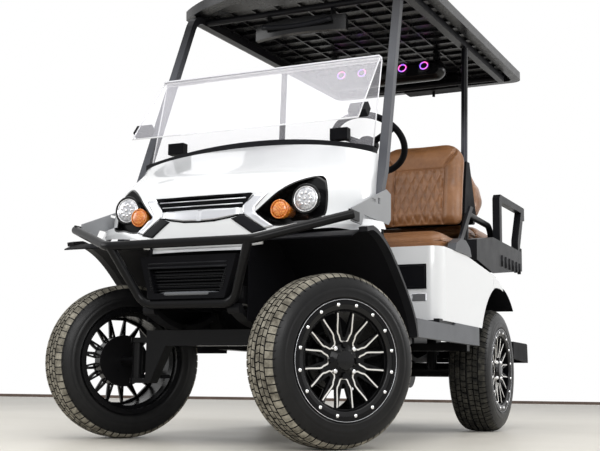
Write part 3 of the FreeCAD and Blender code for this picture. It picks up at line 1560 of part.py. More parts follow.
def rear_footrest():
    """Moulded step, open below, on two arms from the rails."""
    half = foot_half_width
    body = side_prism([(foot_front_y, foot_low_z + 3 * foot_wall), (foot_rear_y, foot_low_z),
                       (foot_rear_y - 2 * foot_wall, foot_top_z - foot_wall),
                       (foot_rear_y - 6 * foot_wall, foot_top_z), (foot_front_y, foot_top_z)], -half, half)
    hollow = block(foot_wall - half, half - foot_wall, foot_front_y + foot_wall, foot_rear_y - 3 * foot_wall,
                   foot_low_z - overrun, foot_top_z - foot_wall)
    return body.cut(hollow)


def rear_seat_frame():
    """Posts from the rails up to the deck, and the low bar that carries the shocks."""
    half = post_size / 2
    z0 = rail_rear_z + rail_height / 2 + fit
    deck = tray_top_z - wall - wall / 4 - fit
    pieces = []
    for y in (post_front_y, post_rear_y):
        for x in (-rail_x, rail_x):
            pieces.append(block(x - half, x + half, y - half, y + half, z0, deck))
        pieces.append(block(-rail_x - half, rail_x + half, y - half, y + half, deck - post_size, deck))
    reach = shock_x + shock_radius
    pieces.append(block(-reach, reach, post_front_y - half, post_front_y + half, shock_top_z,
                        shock_top_z + post_size))
    return fused(pieces)


def footprint_middle(shapes):
    """Middle of the whole cart's length along Y."""
    boxes = [shape.optimalBoundingBox(False, False) for shape in shapes]
    return (min(box.YMin for box in boxes) + max(box.YMax for box in boxes)) / 2


def save(name, shape):
    shape.exportStep("parts/" + name + ".step")


def main():
    os.makedirs("parts", exist_ok=True)
    nodes = {
        "chassis_frame": chassis_frame(), "front_axle": front_axle(), "rear_axle": rear_axle(),
        "front_springs": front_springs(), "rear_springs": rear_springs(), "rear_shocks": rear_shocks(),
        "battery_pack": battery_pack(), "floor_pan": floor_pan(), "front_cowl": front_cowl(),
        "cowl_trim": cowl_trim(), "dashboard": dashboard(), "front_grille": front_grille(),
        "headlight_bezels": pair(headlight_bezel()), "headlights": pair(headlight()),
        "turn_signals": pair(turn_signal()), "wheel_well_liners": wheel_well_liner(),
        "fender_flares": pair(fender_flare()), "bumper_panel": bumper_panel(), "brush_guard": brush_guard(),
        "rockers": pair(rocker()), "rear_body": rear_body(), "charger_plate": charger_plate(),
        "rear_liners": pair(rear_liner()), "roof": roof(), "roof_frame": roof_frame(),
        "rear_struts": pair(rear_strut()), "strut_brackets": pair(strut_bracket()),
        "windscreen_lower": windscreen_lower(), "windscreen_upper": windscreen_upper(),
        "screen_fittings": screen_fittings(), "mirror": mirror(), "soundbar": soundbar(), "roof_box": roof_box(),
        "steering_column": steering_column(), "steering_wheel": steering_wheel(), "pedals": pedals(),
        "seat_bottom_front": seat_bottom_front(), "seat_bottom_rear": seat_bottom_rear(),
        "front_seat_backs": front_seat_backs(), "rear_seat_backs": rear_seat_backs(),
        "rear_seat_ledge": rear_seat_ledge(),
        "seat_back_shells": seat_back_shells(), "seat_support": seat_support(),
        "hip_restraints": pair(hip_restraint()), "rear_tray": rear_tray(), "flip_brackets": pair(flip_bracket()),
        "grab_frames": pair(grab_frame()), "rear_footrest": rear_footrest(), "rear_seat_frame": rear_seat_frame(),
        "knuckle_left": knuckle(1), "knuckle_right": knuckle(-1),
    }
    wheel_rim, wheel_tyre = rim(), tyre()
    for name, side, front in (("front_left", 1, True), ("front_right", -1, True),
                              ("rear_left", 1, False), ("rear_right", -1, False)):
        nodes["rim_" + name] = on_wheel(wheel_rim, side, front)
        nodes["tyre_" + name] = on_wheel(wheel_tyre, side, front)
    middle = footprint_middle(nodes.values())
    print("middle of the length, from the middle of the wheelbase:", round(middle, 3))
    for name, shape in nodes.items():
        shape.translate(V(0, -middle, 0))
        save(name, shape)
    print(len(nodes), "nodes")


main()
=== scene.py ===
import bpy
import bmesh
import math
from mathutils import Matrix, Vector
from mathutils.bvhtree import BVHTree


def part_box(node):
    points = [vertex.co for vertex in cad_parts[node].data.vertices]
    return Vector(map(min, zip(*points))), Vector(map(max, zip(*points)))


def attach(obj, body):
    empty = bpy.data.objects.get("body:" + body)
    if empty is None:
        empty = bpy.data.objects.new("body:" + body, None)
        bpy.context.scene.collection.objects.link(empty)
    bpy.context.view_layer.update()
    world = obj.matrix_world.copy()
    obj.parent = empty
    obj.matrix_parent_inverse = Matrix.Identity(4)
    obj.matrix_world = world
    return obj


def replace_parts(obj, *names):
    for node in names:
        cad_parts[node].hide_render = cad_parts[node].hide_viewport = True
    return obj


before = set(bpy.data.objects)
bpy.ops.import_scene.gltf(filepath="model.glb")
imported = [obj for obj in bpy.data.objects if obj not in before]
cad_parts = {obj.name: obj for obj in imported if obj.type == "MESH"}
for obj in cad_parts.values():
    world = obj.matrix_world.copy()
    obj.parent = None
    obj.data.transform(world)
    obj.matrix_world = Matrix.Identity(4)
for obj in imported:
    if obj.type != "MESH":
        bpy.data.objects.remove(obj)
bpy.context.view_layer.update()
xAxis, yAxis, zAxis = Vector((1, 0, 0)), Vector((0, 1, 0)), Vector((0, 0, 1))
bothSides = ((1, "left"), (-1, "right"))
wheelEnds = ("front_left", "front_right", "rear_left", "rear_right")
halfWheelbase = 0.845
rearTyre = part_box("tyre_rear_left")
baseY = (rearTyre[0].y + rearTyre[1].y) / 2 - halfWheelbase


def at(x, y, z):
    # a place given from the middle of the wheelbase
    return Vector((x, y + baseY, z))


# shader helpers

class Wire:
    # one output socket, so that shader maths reads as plain sums
    def __init__(self, nodes, socket):
        self.nodes = nodes
        self.socket = socket

    def step(self, operation, other):
        return self.nodes.node("Math", {"operation": operation}, {0: self, 1: other})

    def __add__(self, other):
        return self.step("ADD", other)

    def __sub__(self, other):
        return self.step("SUBTRACT", other)

    def __mul__(self, other):
        return self.step("MULTIPLY", other)

    def __pow__(self, other):
        return self.step("POWER", other)

    __radd__, __rmul__ = __add__, __mul__


class Nodes:
    # the nodes of one material or world
    def __init__(self, tree):
        self.tree = tree

    def feed(self, item, key, value):
        socket = item.inputs[key]
        if isinstance(value, Wire):
            self.tree.links.new(value.socket, socket)
        elif socket.type == "RGBA" and len(value) == 3:
            socket.default_value = (*value, 1)
        else:
            socket.default_value = value

    def node(self, kind, settings=None, sockets=None, output=0):
        item = self.tree.nodes.new("ShaderNode" + kind)
        for key, value in (settings or {}).items():
            if key == "stops":
                self.stops(item.color_ramp, value)
            else:
                setattr(item, key, value)
        for key, value in (sockets or {}).items():
            self.feed(item, key, value)
        return Wire(self, item.outputs[output]) if item.outputs else None

    def stops(self, ramp, values):
        while len(ramp.elements) < len(values):
            ramp.elements.new(0.5)
        for element, (place, tone) in zip(ramp.elements, values):
            element.position = place
            element.color = (tone, tone, tone, 1)

    def plainToRays(self, lit, plain):
        # camera, mirror and glass rays see plain, and all other light sees lit
        seen = self.node("LightPath", output="Is Camera Ray")
        for ray in ("Is Glossy Ray", "Is Transmission Ray"):
            seen = seen.step("MAXIMUM", self.node("LightPath", output=ray))
        return self.node("MixShader", {}, {0: seen, 1: lit, 2: plain})


class Finish(Nodes):
    # one material, with its shader
    names = {"colour": "Base Color", "rough": "Roughness", "metal": "Metallic", "coat": "Coat Weight",
             "coatRough": "Coat Roughness", "specular": "Specular IOR Level", "alpha": "Alpha",
             "glow": "Emission Color", "glowPower": "Emission Strength", "normal": "Normal"}

    def __init__(self, name, **values):
        self.material = bpy.data.materials.new(name)
        self.material.use_nodes = True
        super().__init__(self.material.node_tree)
        self.shader = self.tree.nodes["Principled BSDF"]
        for key, value in values.items():
            self.set(key, value)

    def set(self, key, value):
        self.feed(self.shader, self.names[key], value)

    def place(self, scale=(1, 1, 1)):
        spot = self.node("TexCoord", output="Object")
        return self.node("Mapping", {}, {"Vector": spot, "Scale": scale})

    def above(self, low, high):
        # 0 below the height low and 1 above high
        height = self.node("SeparateXYZ", {}, {"Vector": self.node("TexCoord", output="Object")}, "Z")
        return self.node("MapRange", {"clamp": True}, {"Value": height, "From Min": low, "From Max": high})

    def noise(self, scale, detail=3.0, rough=0.55, stretch=(1, 1, 1)):
        return self.node("TexNoise", {}, {"Vector": self.place(stretch), "Scale": scale, "Detail": detail,
                                          "Roughness": rough})

    def mix(self, share, first, second):
        return self.node("Mix", {"data_type": "RGBA"}, {0: share, 6: first, 7: second}, 2)

    def ramp(self, value, stops):
        return self.node("ValToRGB", {"stops": stops}, {"Fac": value})

    def surface(self, tone, rough, height, depth, strength, high=None, reach=()):
        # high is a second tone that takes over across the heights of reach
        if high:
            tone = self.mix(self.above(*reach), tone, high)
        self.set("colour", tone)
        self.set("rough", rough)
        self.set("normal", self.node("Bump", {}, {"Height": height, "Distance": depth, "Strength": strength}))


def mouldedPlastic(name, colour, rough, grain=900.0, depth=0.00025, lift=1.4, specular=0.04, **second):
    made = Finish(name, specular=specular)
    patch = made.ramp(made.noise(6.0, 4.0), [(0.35, 0.0), (0.7, 1.0)])
    tone = made.mix(patch, colour, [min(1, c * lift) for c in colour])
    made.surface(tone, rough - 0.08 + 0.16 * made.noise(14.0), made.noise(grain, 2.0), depth, 0.6, **second)
    return made


def satinPaint(name, colour, rough, coat, *second):
    made = Finish(name, coat=coat, coatRough=0.2, specular=0.08)
    tone = made.mix(made.noise(9.0, 4.0) * 0.5, colour, [min(1, c * 1.35 + 0.003) for c in colour])
    made.surface(tone, rough - 0.06 + 0.12 * made.noise(22.0), made.noise(420.0, 2.0), 0.00012, 0.5, *second)
    return made


def glossBody(name, colour):
    made = Finish(name, coat=1.0, coatRough=0.04, specular=0.5)
    tone = made.mix(made.noise(3.0, 2.0) * 0.3, colour, [c * 0.965 for c in colour])
    made.surface(tone, 0.2 + 0.06 * made.noise(30.0), made.noise(160.0, 1.0), 0.00005, 0.3)
    return made


def tanLeather(name, deep, warm, pale):
    made = Finish(name, coat=0.35, coatRough=0.28, specular=0.4)
    cells = made.node("TexVoronoi", {"feature": "DISTANCE_TO_EDGE"}, {"Vector": made.place(), "Scale": 420.0})
    patch = made.ramp(made.noise(7.0, 5.0, 0.6), [(0.32, 0.0), (0.7, 1.0)])
    tone = made.mix(0.4 * made.noise(60.0, 3.0), made.mix(patch, deep, warm), pale)
    height = made.ramp(cells, [(0.0, 0.0), (0.12, 1.0)]) + 0.7 * made.noise(1100.0, 2.0)
    made.surface(tone, 0.36 + 0.16 * made.noise(18.0) - 0.04 * patch, height, 0.00035, 0.55)
    return made


def tyreRubber(name, dark, paler, share, rough, specular):
    made = Finish(name, specular=specular)
    patches = made.ramp(made.noise(30.0, 6.0, 0.65), [(0.38, 0.0), (0.68, 1.0)])
    tone = made.mix(patches * share, dark, paler)
    made.surface(tone, rough + 0.2 * made.noise(40.0), made.noise(700.0, 3.0), 0.0003, 0.5)
    return made


def brightMetal(name, colour, rough, stretch=(1, 1, 40)):
    made = Finish(name, metal=1.0)
    brush = made.noise(60.0, 3.0, 0.6, stretch)
    made.surface(made.mix(brush * 0.4, colour, [c * 0.8 for c in colour]), rough + 0.12 * brush, brush, 0.0001, 0.4)
    return made


def clearSheet(name, tint, alpha, rim=0.45):
    made = Finish(name, rough=0.03, coat=0.4, coatRough=0.02)
    made.set("colour", made.mix(made.noise(2.0) * 0.3, tint, [c * 0.97 for c in tint]))
    facing = made.node("LayerWeight", {}, {"Blend": 0.35}, "Facing")
    made.set("alpha", alpha + rim * facing ** 2.0 + 0.02 * made.noise(5.0))
    return made


def facetLens(name, dark, bright, scale, metal=0.0):
    # pressed cells of a lamp's lens
    made = Finish(name, coat=1.0, coatRough=0.03, metal=metal)
    cells = made.node("TexVoronoi", {}, {"Vector": made.place(), "Scale": scale})
    fine = made.ramp(cells, [(0.05, 1.0), (0.5, 0.25), (0.75, 0.0)])
    made.surface(made.mix(fine, dark, bright), 0.12 + 0.1 * made.noise(90.0), fine, 0.0012, 0.7)
    return made


def ledLight(name, first, second, power):
    made = Finish(name, rough=0.4, glowPower=power)
    made.set("glow", made.mix(made.ramp(made.noise(28.0, 1.0), [(0.42, 0.0), (0.58, 1.0)]), first, second))
    return made


print("materials")
frameBlack = satinPaint("frameBlack", (0.004, 0.004, 0.0045), 0.3, 0.10)
springPaint = satinPaint("springPaint", (0.007, 0.007, 0.008), 0.45, 0.05)
# the roof frame is satin black; below the roof its struts are painted grey as a painted highlight of the lamps on the
# black paint
strutSheenPaint = satinPaint("strutSheenPaint", (0.075, 0.078, 0.088), 0.36, 0.14, (0.010, 0.010, 0.012), (1.45, 1.74))
bracketPaint = satinPaint("bracketPaint", (0.27, 0.275, 0.285), 0.42, 0.15)
# the rear posts are black; their lower part is painted grey as a painted highlight
postSheenPaint = satinPaint("postSheenPaint", (0.045, 0.045, 0.056), 0.3, 0.12, (0.003, 0.003, 0.004), (1.36, 1.52))
hipPlastic = satinPaint("hipPlastic", (0.09, 0.093, 0.1), 0.4, 0.12, (0.012, 0.012, 0.014), (0.82, 0.86))
glossBlack = satinPaint("glossBlack", (0.004, 0.004, 0.0045), 0.14, 0.35)
rimBlack = satinPaint("rimBlack", (0.0025, 0.0025, 0.003), 0.26, 0.12)
blackPlastic = mouldedPlastic("blackPlastic", (0.005, 0.005, 0.006), 0.5)
graphite = mouldedPlastic("graphitePlastic", (0.009, 0.0093, 0.011), 0.36, 700.0, 0.0003, 1.3, 0.10)
greyPlastic = mouldedPlastic("greyPlastic", (0.12, 0.125, 0.135), 0.5, 700.0, 0.0003, 1.15, 0.2)
fittingPlastic = mouldedPlastic("fittingPlastic", (0.005, 0.005, 0.006), 0.45, high=(0.8, 0.8, 0.84),
                                reach=(1.395, 1.40))
roofPlastic = mouldedPlastic("roofPlastic", (0.004, 0.004, 0.005), 0.28, 500.0, 0.0003, 1.4, 0.25)
bodyWhite = glossBody("bodyWhite", (0.8, 0.81, 0.82))
silverTrim = brightMetal("silverTrim", (0.62, 0.63, 0.66), 0.3, (40, 1, 1))
machined = brightMetal("machinedFace", (0.86, 0.84, 0.8), 0.26)
chrome = brightMetal("chromeNut", (0.85, 0.85, 0.86), 0.12)
leather = tanLeather("tanLeather", deep=(0.135, 0.052, 0.018), warm=(0.285, 0.122, 0.044), pale=(0.50, 0.25, 0.11))
sidewall = tyreRubber("tyreSidewall", (0.004, 0.004, 0.0045), (0.012, 0.0118, 0.0115), 0.4, 0.27, 0.22)
treadDark = tyreRubber("treadDark", (0.010, 0.010, 0.0095), (0.07, 0.066, 0.055), 0.9, 0.6, 0.12)
# front tread tops painted beige: partly dust, partly a painted highlight of the front light that the rear tread, left
# dark, does not get
litDustyTread = tyreRubber("litDustyTread", (0.11, 0.10, 0.08), (0.36, 0.335, 0.275), 1.0, 0.7, 0.1)
screenClear = clearSheet("screenClear", (0.9, 0.89, 0.95), 0.1)
screenEdge = clearSheet("screenEdge", (0.96, 0.96, 0.99), 0.82, 0.1)
lampClear = clearSheet("lampClear", (0.8, 0.83, 0.88), 0.5)
lampCells = facetLens("lampCells", (0.42, 0.43, 0.46), (0.9, 0.9, 0.92), 120.0, 0.3)
amber = facetLens("amberLens", (0.62, 0.13, 0.008), (0.98, 0.42, 0.05), 190.0)
ledGlow = ledLight("ledGlow", (0.25, 0.06, 0.95), (1.0, 0.06, 0.45), 1.6)

nodeFinish = {
    frameBlack: ["chassis_frame", "front_axle", "rear_axle", "rear_shocks", "brush_guard", "seat_support",
                 "flip_brackets", "rear_seat_frame", "knuckle_left", "knuckle_right"],
    springPaint: ["front_springs", "rear_springs"],
    strutSheenPaint: ["roof_frame"],
    bracketPaint: ["strut_brackets"],
    postSheenPaint: ["rear_struts"],
    blackPlastic: ["battery_pack", "floor_pan", "dashboard", "front_grille", "wheel_well_liners", "bumper_panel",
                   "rear_liners", "roof_box", "steering_column", "steering_wheel", "pedals",
                   "seat_back_shells", "rear_footrest", "charger_plate"],
    fittingPlastic: ["screen_fittings"],
    graphite: ["cowl_trim", "fender_flares", "rear_tray", "grab_frames"],
    hipPlastic: ["hip_restraints"],
    greyPlastic: ["rockers"],
    roofPlastic: ["roof"],
    glossBlack: ["headlight_bezels", "soundbar", "mirror"],
    rimBlack: ["rim_" + end for end in wheelEnds],
    bodyWhite: ["front_cowl", "rear_body"],
    screenClear: ["windscreen_lower", "windscreen_upper"],
    lampClear: ["headlights"],
    amber: ["turn_signals"],
    leather: ["seat_bottom_front", "seat_bottom_rear", "front_seat_backs", "rear_seat_backs", "rear_seat_ledge"],
    sidewall: ["tyre_" + end for end in wheelEnds],
}
for finish, names in nodeFinish.items():
    for name in names:
        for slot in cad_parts[name].material_slots:
            slot.material = finish.material


# mesh helpers

def placed(name, data):
    made = bpy.data.objects.new(name, data)
    bpy.context.collection.objects.link(made)
    return made


def meshPiece(name, verts, faces, finish, slotName="black_plastic", body="cart", smooth=True):
    mesh = bpy.data.meshes.new(name)
    mesh.from_pydata([tuple(v) for v in verts], [], faces)
    mesh.validate()
    mesh.update()
    if smooth:
        mesh.shade_smooth()
    mesh.materials.append(finish.material)
    piece = placed(name, mesh)
    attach(piece, body)
    return piece


def outward(side, faces):
    # faces are turned over on the mirrored side, so that they still look outward
    return faces if side > 0 else [tuple(reversed(face)) for face in faces]


def ringFaces(rows, sides, closed=False):
    faces = []
    for k in range(rows if closed else rows - 1):
        after = (k + 1) % rows
        for s in range(sides):
            t = (s + 1) % sides
            faces.append((k * sides + s, k * sides + t, after * sides + t, after * sides + s))
    if not closed:
        faces.append(tuple(range(sides - 1, -1, -1)))
        faces.append(tuple(range((rows - 1) * sides, rows * sides)))
    return faces


def tube(name, points, radius, finish, slotName="black_plastic", body="cart", closed=False, sides=10):
    # round bar through points, with its sections turned the least from one to the next
    points = [Vector(p) for p in points]
    count = len(points)
    verts = []
    up = None
    for k, p in enumerate(points):
        ahead = points[(k + 1) % count] if closed or k < count - 1 else p + (p - points[k - 1])
        behind = points[k - 1] if closed or k > 0 else p - (ahead - p)
        run = (ahead - behind).normalized()
        if up is None:
            up = run.orthogonal().normalized()
        up = (up - run * up.dot(run)).normalized()
        side = run.cross(up)
        for s in range(sides):
            a = 2 * math.pi * s / sides
            verts.append(p + (up * math.cos(a) + side * math.sin(a)) * radius)
    return meshPiece(name, verts, ringFaces(count, sides, closed), finish, slotName, body)


def turns(count, start=0.0):
    return [start + 2 * math.pi * k / count for k in range(count)]


def around(middle, out, radius, sides, lift=0.0):
    # points on a circle that faces out
    middle, out = Vector(middle), Vector(out).normalized()
    up = (zAxis - out * out.dot(zAxis)).normalized()
    side = out.cross(up)
    return [middle + (up * math.cos(a) + side * math.sin(a)) * radius + out * lift for a in turns(sides)]


def stacked(spots, profile, sides, closed):
    # one body of rings at each spot, a middle and the way it faces; profile holds pairs of radius and height
    verts, faces = [], []
    for middle, out in spots:
        start = len(verts)
        for radius, height in profile:
            verts += around(middle, out, radius, sides, height)
        faces += [tuple(start + i for i in face) for face in ringFaces(len(profile), sides, closed)]
    return verts, faces


def domes(name, spots, profile, finish, slotName="black_plastic", body="cart", sides=14, crease=0.7):
    # button heads, lenses and caps
    piece = meshPiece(name, *stacked(spots, profile, sides, False), finish, slotName, body)
    shape = bmesh.new()
    shape.from_mesh(piece.data)
    bmesh.ops.recalc_face_normals(shape, faces=shape.faces)
    shape.to_mesh(piece.data)
    shape.free()
    piece.data.set_sharp_from_angle(angle=crease)
    return piece


def hoops(name, spots, profile, finish, slotName="black_plastic", body="cart", sides=48):
    # rings with a closed section and an open middle
    return meshPiece(name, *stacked(spots, profile, sides, True), finish, slotName, body)


def button(radius, height):
    return [(radius * r, height * h) for r, h in ((1, 0.0), (1, 0.45), (0.8, 0.8), (0.45, 0.97))]


def lensDome(radius, height):
    return [(radius * math.cos(a), height * math.sin(a)) for a in (0.0, 0.3, 0.6, 0.9, 1.2, 1.45)]


def ringBar(radius, thick, lift=0.0):
    return [(radius + thick * math.cos(a), lift + thick * math.sin(a)) for a in turns(8)]


# stage, light and camera

print("stage")
cameraSet = {"place": (1.814, -4.10, 0.208), "yaw": 0.434, "pitch": 0.151, "roll": 0.014, "focal": 1042.18,
             "frame": 600.0, "sensor": 36.0, "clip": (0.05, 80.0)}
stageSet = {"half": 20.0, "near": -9.0, "far": 9.0, "top": 14.0, "skirting": 0.035, "floor": (0.74, 0.705, 0.635),
            "board": (0.16, 0.12, 0.1), "wall": (0.9, 0.9, 0.9), "sky": (0.93, 0.96, 1), "skyPower": 0.46}
lamps = {
    "overheadLamp": {"place": (0.5, -1.0, 5.2), "aim": (0, 0, 0.8), "size": (5.0, 5.0), "power": 195,
                     "tone": (1, 0.99, 0.97)},
    "frontLamp": {"place": (3.2, -5.6, 2.6), "aim": (0, -0.4, 0.8), "size": (3.0, 2.4), "power": 150},
    "sideLamp": {"place": (-4.8, -2.6, 2.4), "aim": (0, -0.5, 0.8), "size": (2.6, 2.6), "power": 75},
    "rearSideLamp": {"place": (4.4, 2.8, 2.6), "aim": (0.3, 0.6, 0.9), "size": (2.4, 2.4), "power": 84},
}
white = (1, 1, 1)
turn = Matrix.Rotation(cameraSet["yaw"], 3, "Z")


def sheet(name, corners, finish):
    # flat sheet of the stage, which is square to the camera
    mesh = bpy.data.meshes.new(name)
    mesh.from_pydata([turn @ Vector(corner) + Vector((0, baseY, 0)) for corner in corners], [], [(0, 1, 2, 3)])
    mesh.materials.append(finish.material)
    placed(name, mesh)


floorFinish = Finish("paleFloor", specular=0.35)
cloud = floorFinish.noise(0.9, 5.0)
floorFinish.set("colour", floorFinish.mix(cloud, stageSet["floor"], [c * 0.86 for c in stageSet["floor"]]))
floorFinish.set("rough", 0.36 + 0.2 * floorFinish.noise(2.0))
skirtingFinish = mouldedPlastic("skirting", stageSet["board"], 0.6)
wallFinish = Finish("paleWall", colour=stageSet["wall"], rough=0.9)
bright = wallFinish.node("Emission", {}, {"Color": white, "Strength": 1.0})
surface = wallFinish.plainToRays(Wire(wallFinish, wallFinish.shader.outputs[0]), bright)
wallFinish.feed(wallFinish.tree.nodes["Material Output"], "Surface", surface)

w, near, far, top, foot = (stageSet[k] for k in ("half", "near", "far", "top", "skirting"))
sheet("floor", [(-w, near, 0), (w, near, 0), (w, far, 0), (-w, far, 0)], floorFinish)
sheet("skirtingBoard", [(-w, far, 0), (w, far, 0), (w, far, foot), (-w, far, foot)], skirtingFinish)
sheet("wall", [(-w, far, foot), (w, far, foot), (w, far, top), (-w, far, top)], wallFinish)

world = bpy.context.scene.world or bpy.data.worlds.new("studio")
bpy.context.scene.world = world
world.use_nodes = True
world.node_tree.nodes.clear()
sky = Nodes(world.node_tree)
soft = sky.node("Background", {}, {"Color": stageSet["sky"], "Strength": stageSet["skyPower"]})
sky.node("OutputWorld", {}, {"Surface": sky.plainToRays(soft, sky.node("Background", {}, {"Color": white}))})


def softLamp(name, place, aim, size, power, tone=white):
    light = bpy.data.lights.new(name, "AREA")
    light.shape, light.size, light.size_y = "RECTANGLE", size[0], size[1]
    light.energy, light.color = power, tone
    lamp = placed(name, light)
    lamp.location = at(*place)
    lamp.rotation_euler = (at(*aim) - at(*place)).to_track_quat("-Z", "Y").to_euler()


for name, values in lamps.items():
    softLamp(name, **values)

scene = bpy.context.scene
scene.view_settings.view_transform = "Standard"
lens = bpy.data.cameras.new("view")
lens.sensor_fit, lens.sensor_width = "HORIZONTAL", cameraSet["sensor"]
lens.lens = cameraSet["focal"] * cameraSet["sensor"] / cameraSet["frame"]
lens.clip_start, lens.clip_end = cameraSet["clip"]
camera = placed("view", lens)
aim = turn.to_4x4() @ Matrix.Rotation(math.pi / 2 + cameraSet["pitch"], 4, "X")
camera.matrix_world = Matrix.Translation(at(*cameraSet["place"])) @ aim @ Matrix.Rotation(cameraSet["roll"], 4, "Z")
scene.camera = camera


# wheels, made with X outward and the axle through the origin

print("wheels")
hubHeight = 0.286
axleSet = {"front": {"pivot": 0.344, "y": -halfWheelbase, "reach": 0.142, "turned": math.radians(-34.0)},
           "rear": {"pivot": 0.0, "y": halfWheelbase, "reach": 0.496, "turned": 0.0}}


def wheelMatrix(end):
    # from wheel coordinates to the parked cart
    axle, side = axleSet[end.split("_")[0]], 1 if "left" in end else -1
    pivot = Matrix.Translation(at(side * axle["pivot"], axle["y"], hubHeight))
    flip = Matrix.Scale(-1, 4, xAxis) if side < 0 else Matrix.Identity(4)
    return pivot @ Matrix.Rotation(axle["turned"], 4, "Z") @ Matrix.Translation(xAxis * side * axle["reach"]) @ flip


def wheelPiece(name, end, verts, faces, finish, slotName="rim_black"):
    spot = wheelMatrix(end)
    faces = outward(1 if "left" in end else -1, faces)
    piece = meshPiece(name + end, [spot @ v for v in verts], faces, finish, slotName, "wheel_" + end)
    piece.data.set_sharp_from_angle(angle=0.6)
    return piece


def polar(x, radius, angle):
    return Vector((x, radius * math.cos(angle), radius * math.sin(angle)))


# wall, crown and hollow: half sections of x out from the middle and radius; crown points also have the lane of
# blocks that they belong to, with -1 for the floor of a groove round the tyre
tyreSet = {
    "wall": [(0.0885, 0.1853), (0.0888, 0.196), (0.094, 0.201), (0.0965, 0.205), (0.0958, 0.207), (0.0977, 0.222),
             (0.0975, 0.230), (0.0962, 0.232), (0.0962, 0.235), (0.0950, 0.243), (0.0905, 0.255), (0.0868, 0.2620)],
    "crown": [(0.0862, 0.2632, 0), (0.0815, 0.2688, 0), (0.0745, 0.2748, 0), (0.0672, 0.2796, 0),
              (0.0555, 0.2829, 0), (0.0551, 0.2768, -1), (0.0512, 0.2768, -1), (0.0508, 0.2840, 1),
              (0.0310, 0.2855, 1), (0.0306, 0.2782, -1), (0.0266, 0.2782, -1), (0.0262, 0.2857, 2),
              (0.0045, 0.2860, 2), (0.0041, 0.2790, -1), (0.0, 0.2790, -1)],
    "hollow": [(0.078, 0.190), (0.086, 0.228), (0.066, 0.270)],
    "blocks": 66, "stations": (0.0, 0.015, 0.135, 0.15, 0.43, 0.72), "cutStations": (1, 2), "topStations": (3, 4, 5),
    "groove": 0.0065, "farShare": 0.95, "shoulder": 0.266, "shoulderShare": 0.5, "topFrom": 0.268,
    "offsets": (0.0, 0.45, 0.2), "skews": (2.0, 7.0, -6.0), "skewFrom": 0.04,
}


def tyreMesh():
    # outer skin bead to bead with cut blocks, and the plain hollow inside; tops marks the blocks' upper faces
    s = tyreSet
    outer = [(x, r, None) for x, r in s["wall"]] + s["crown"]
    section = outer + [(-x, r, lane) for x, r, lane in reversed(outer[:-1])]
    section += [(-x, r, None) for x, r in s["hollow"]] + [(x, r, None) for x, r in reversed(s["hollow"])]
    parts = len(s["stations"])
    count = s["blocks"] * parts
    pitch = 2 * math.pi / s["blocks"]
    verts, tops = [], []
    for k in range(count):
        for x, r, lane in section:
            angle = pitch * (k // parts + s["stations"][k % parts])
            if lane is not None and lane >= 0:
                skew = s["skews"][lane] * (abs(x) - s["skewFrom"])
                angle += (s["offsets"][lane] * (1 if x > 0 else -1) + skew) * pitch
                if k % parts in s["cutStations"]:
                    share = (1.0 if x > 0 else s["farShare"]) * (1.0 if r > s["shoulder"] else s["shoulderShare"])
                    r -= s["groove"] * share
            verts.append(polar(x, r, angle))
        for (_, r, lane), (_, nextR, nextLane) in zip(section, section[1:] + section[:1]):
            top = lane == nextLane and lane not in (None, -1) and k % parts in s["topStations"]
            tops.append(1 if top and min(r, nextR) > s["topFrom"] else 0)
    return verts, ringFaces(count, len(section), True), tops


# arm: half of one loop as radius and degrees, from the rim in to the hub
spokeSet = {"loops": 8, "face": 0.083, "dish": 0.014, "dishFrom": 0.150, "dishRun": 0.133, "bevel": 0.0006,
            "flat": 0.86, "arm": [(0.1535, 11.3), (0.140, 11.9), (0.124, 13.2), (0.108, 15.0), (0.096, 16.4),
                                  (0.089, 16.6), (0.081, 14.6), (0.073, 13.6), (0.0655, 12.6), (0.0605, 9.0),
                                  (0.0590, 4.0)]}


def faceX(radius):
    s = spokeSet
    return s["face"] - s["dish"] * max(0.0, (s["dishFrom"] - radius) / s["dishRun"])


def spokeRibbons(halfWidth, low, high):
    # loops, open to the rim, that run down one spoke, round the hub end and up the next
    s = spokeSet
    half = [(r, math.radians(a)) for r, a in s["arm"]]
    whole = half + [(r, -a) for r, a in reversed(half)]
    section = [(1, low), (1, high - s["bevel"]), (s["flat"], high)]
    section += [(-share, lift) for share, lift in reversed(section)]
    verts, faces = [], []
    for angle in turns(s["loops"]):
        spot = Matrix.Rotation(angle, 2)
        start = len(verts)
        points = [Vector((r * math.cos(a), r * math.sin(a))) for r, a in whole]
        for j, p in enumerate(points):
            run = (points[min(j + 1, len(points) - 1)] - points[max(j - 1, 0)]).normalized()
            sideways = Vector((-run.y, run.x)) * halfWidth
            for share, lift in section:
                flat = spot @ (p + sideways * share)
                verts.append(Vector((faceX(whole[j][0]) + lift, flat.x, flat.y)))
        faces += [tuple(start + i for i in face) for face in ringFaces(len(points), len(section))]
    return verts, faces


tyreVerts, tyreFaces, tyreTops = tyreMesh()
spokes = (("spokeArms_", spokeRibbons(0.0052, -0.011, 0.0006), glossBlack),
          ("spokeLines_", spokeRibbons(0.0026, 0.0003, 0.0012), machined))
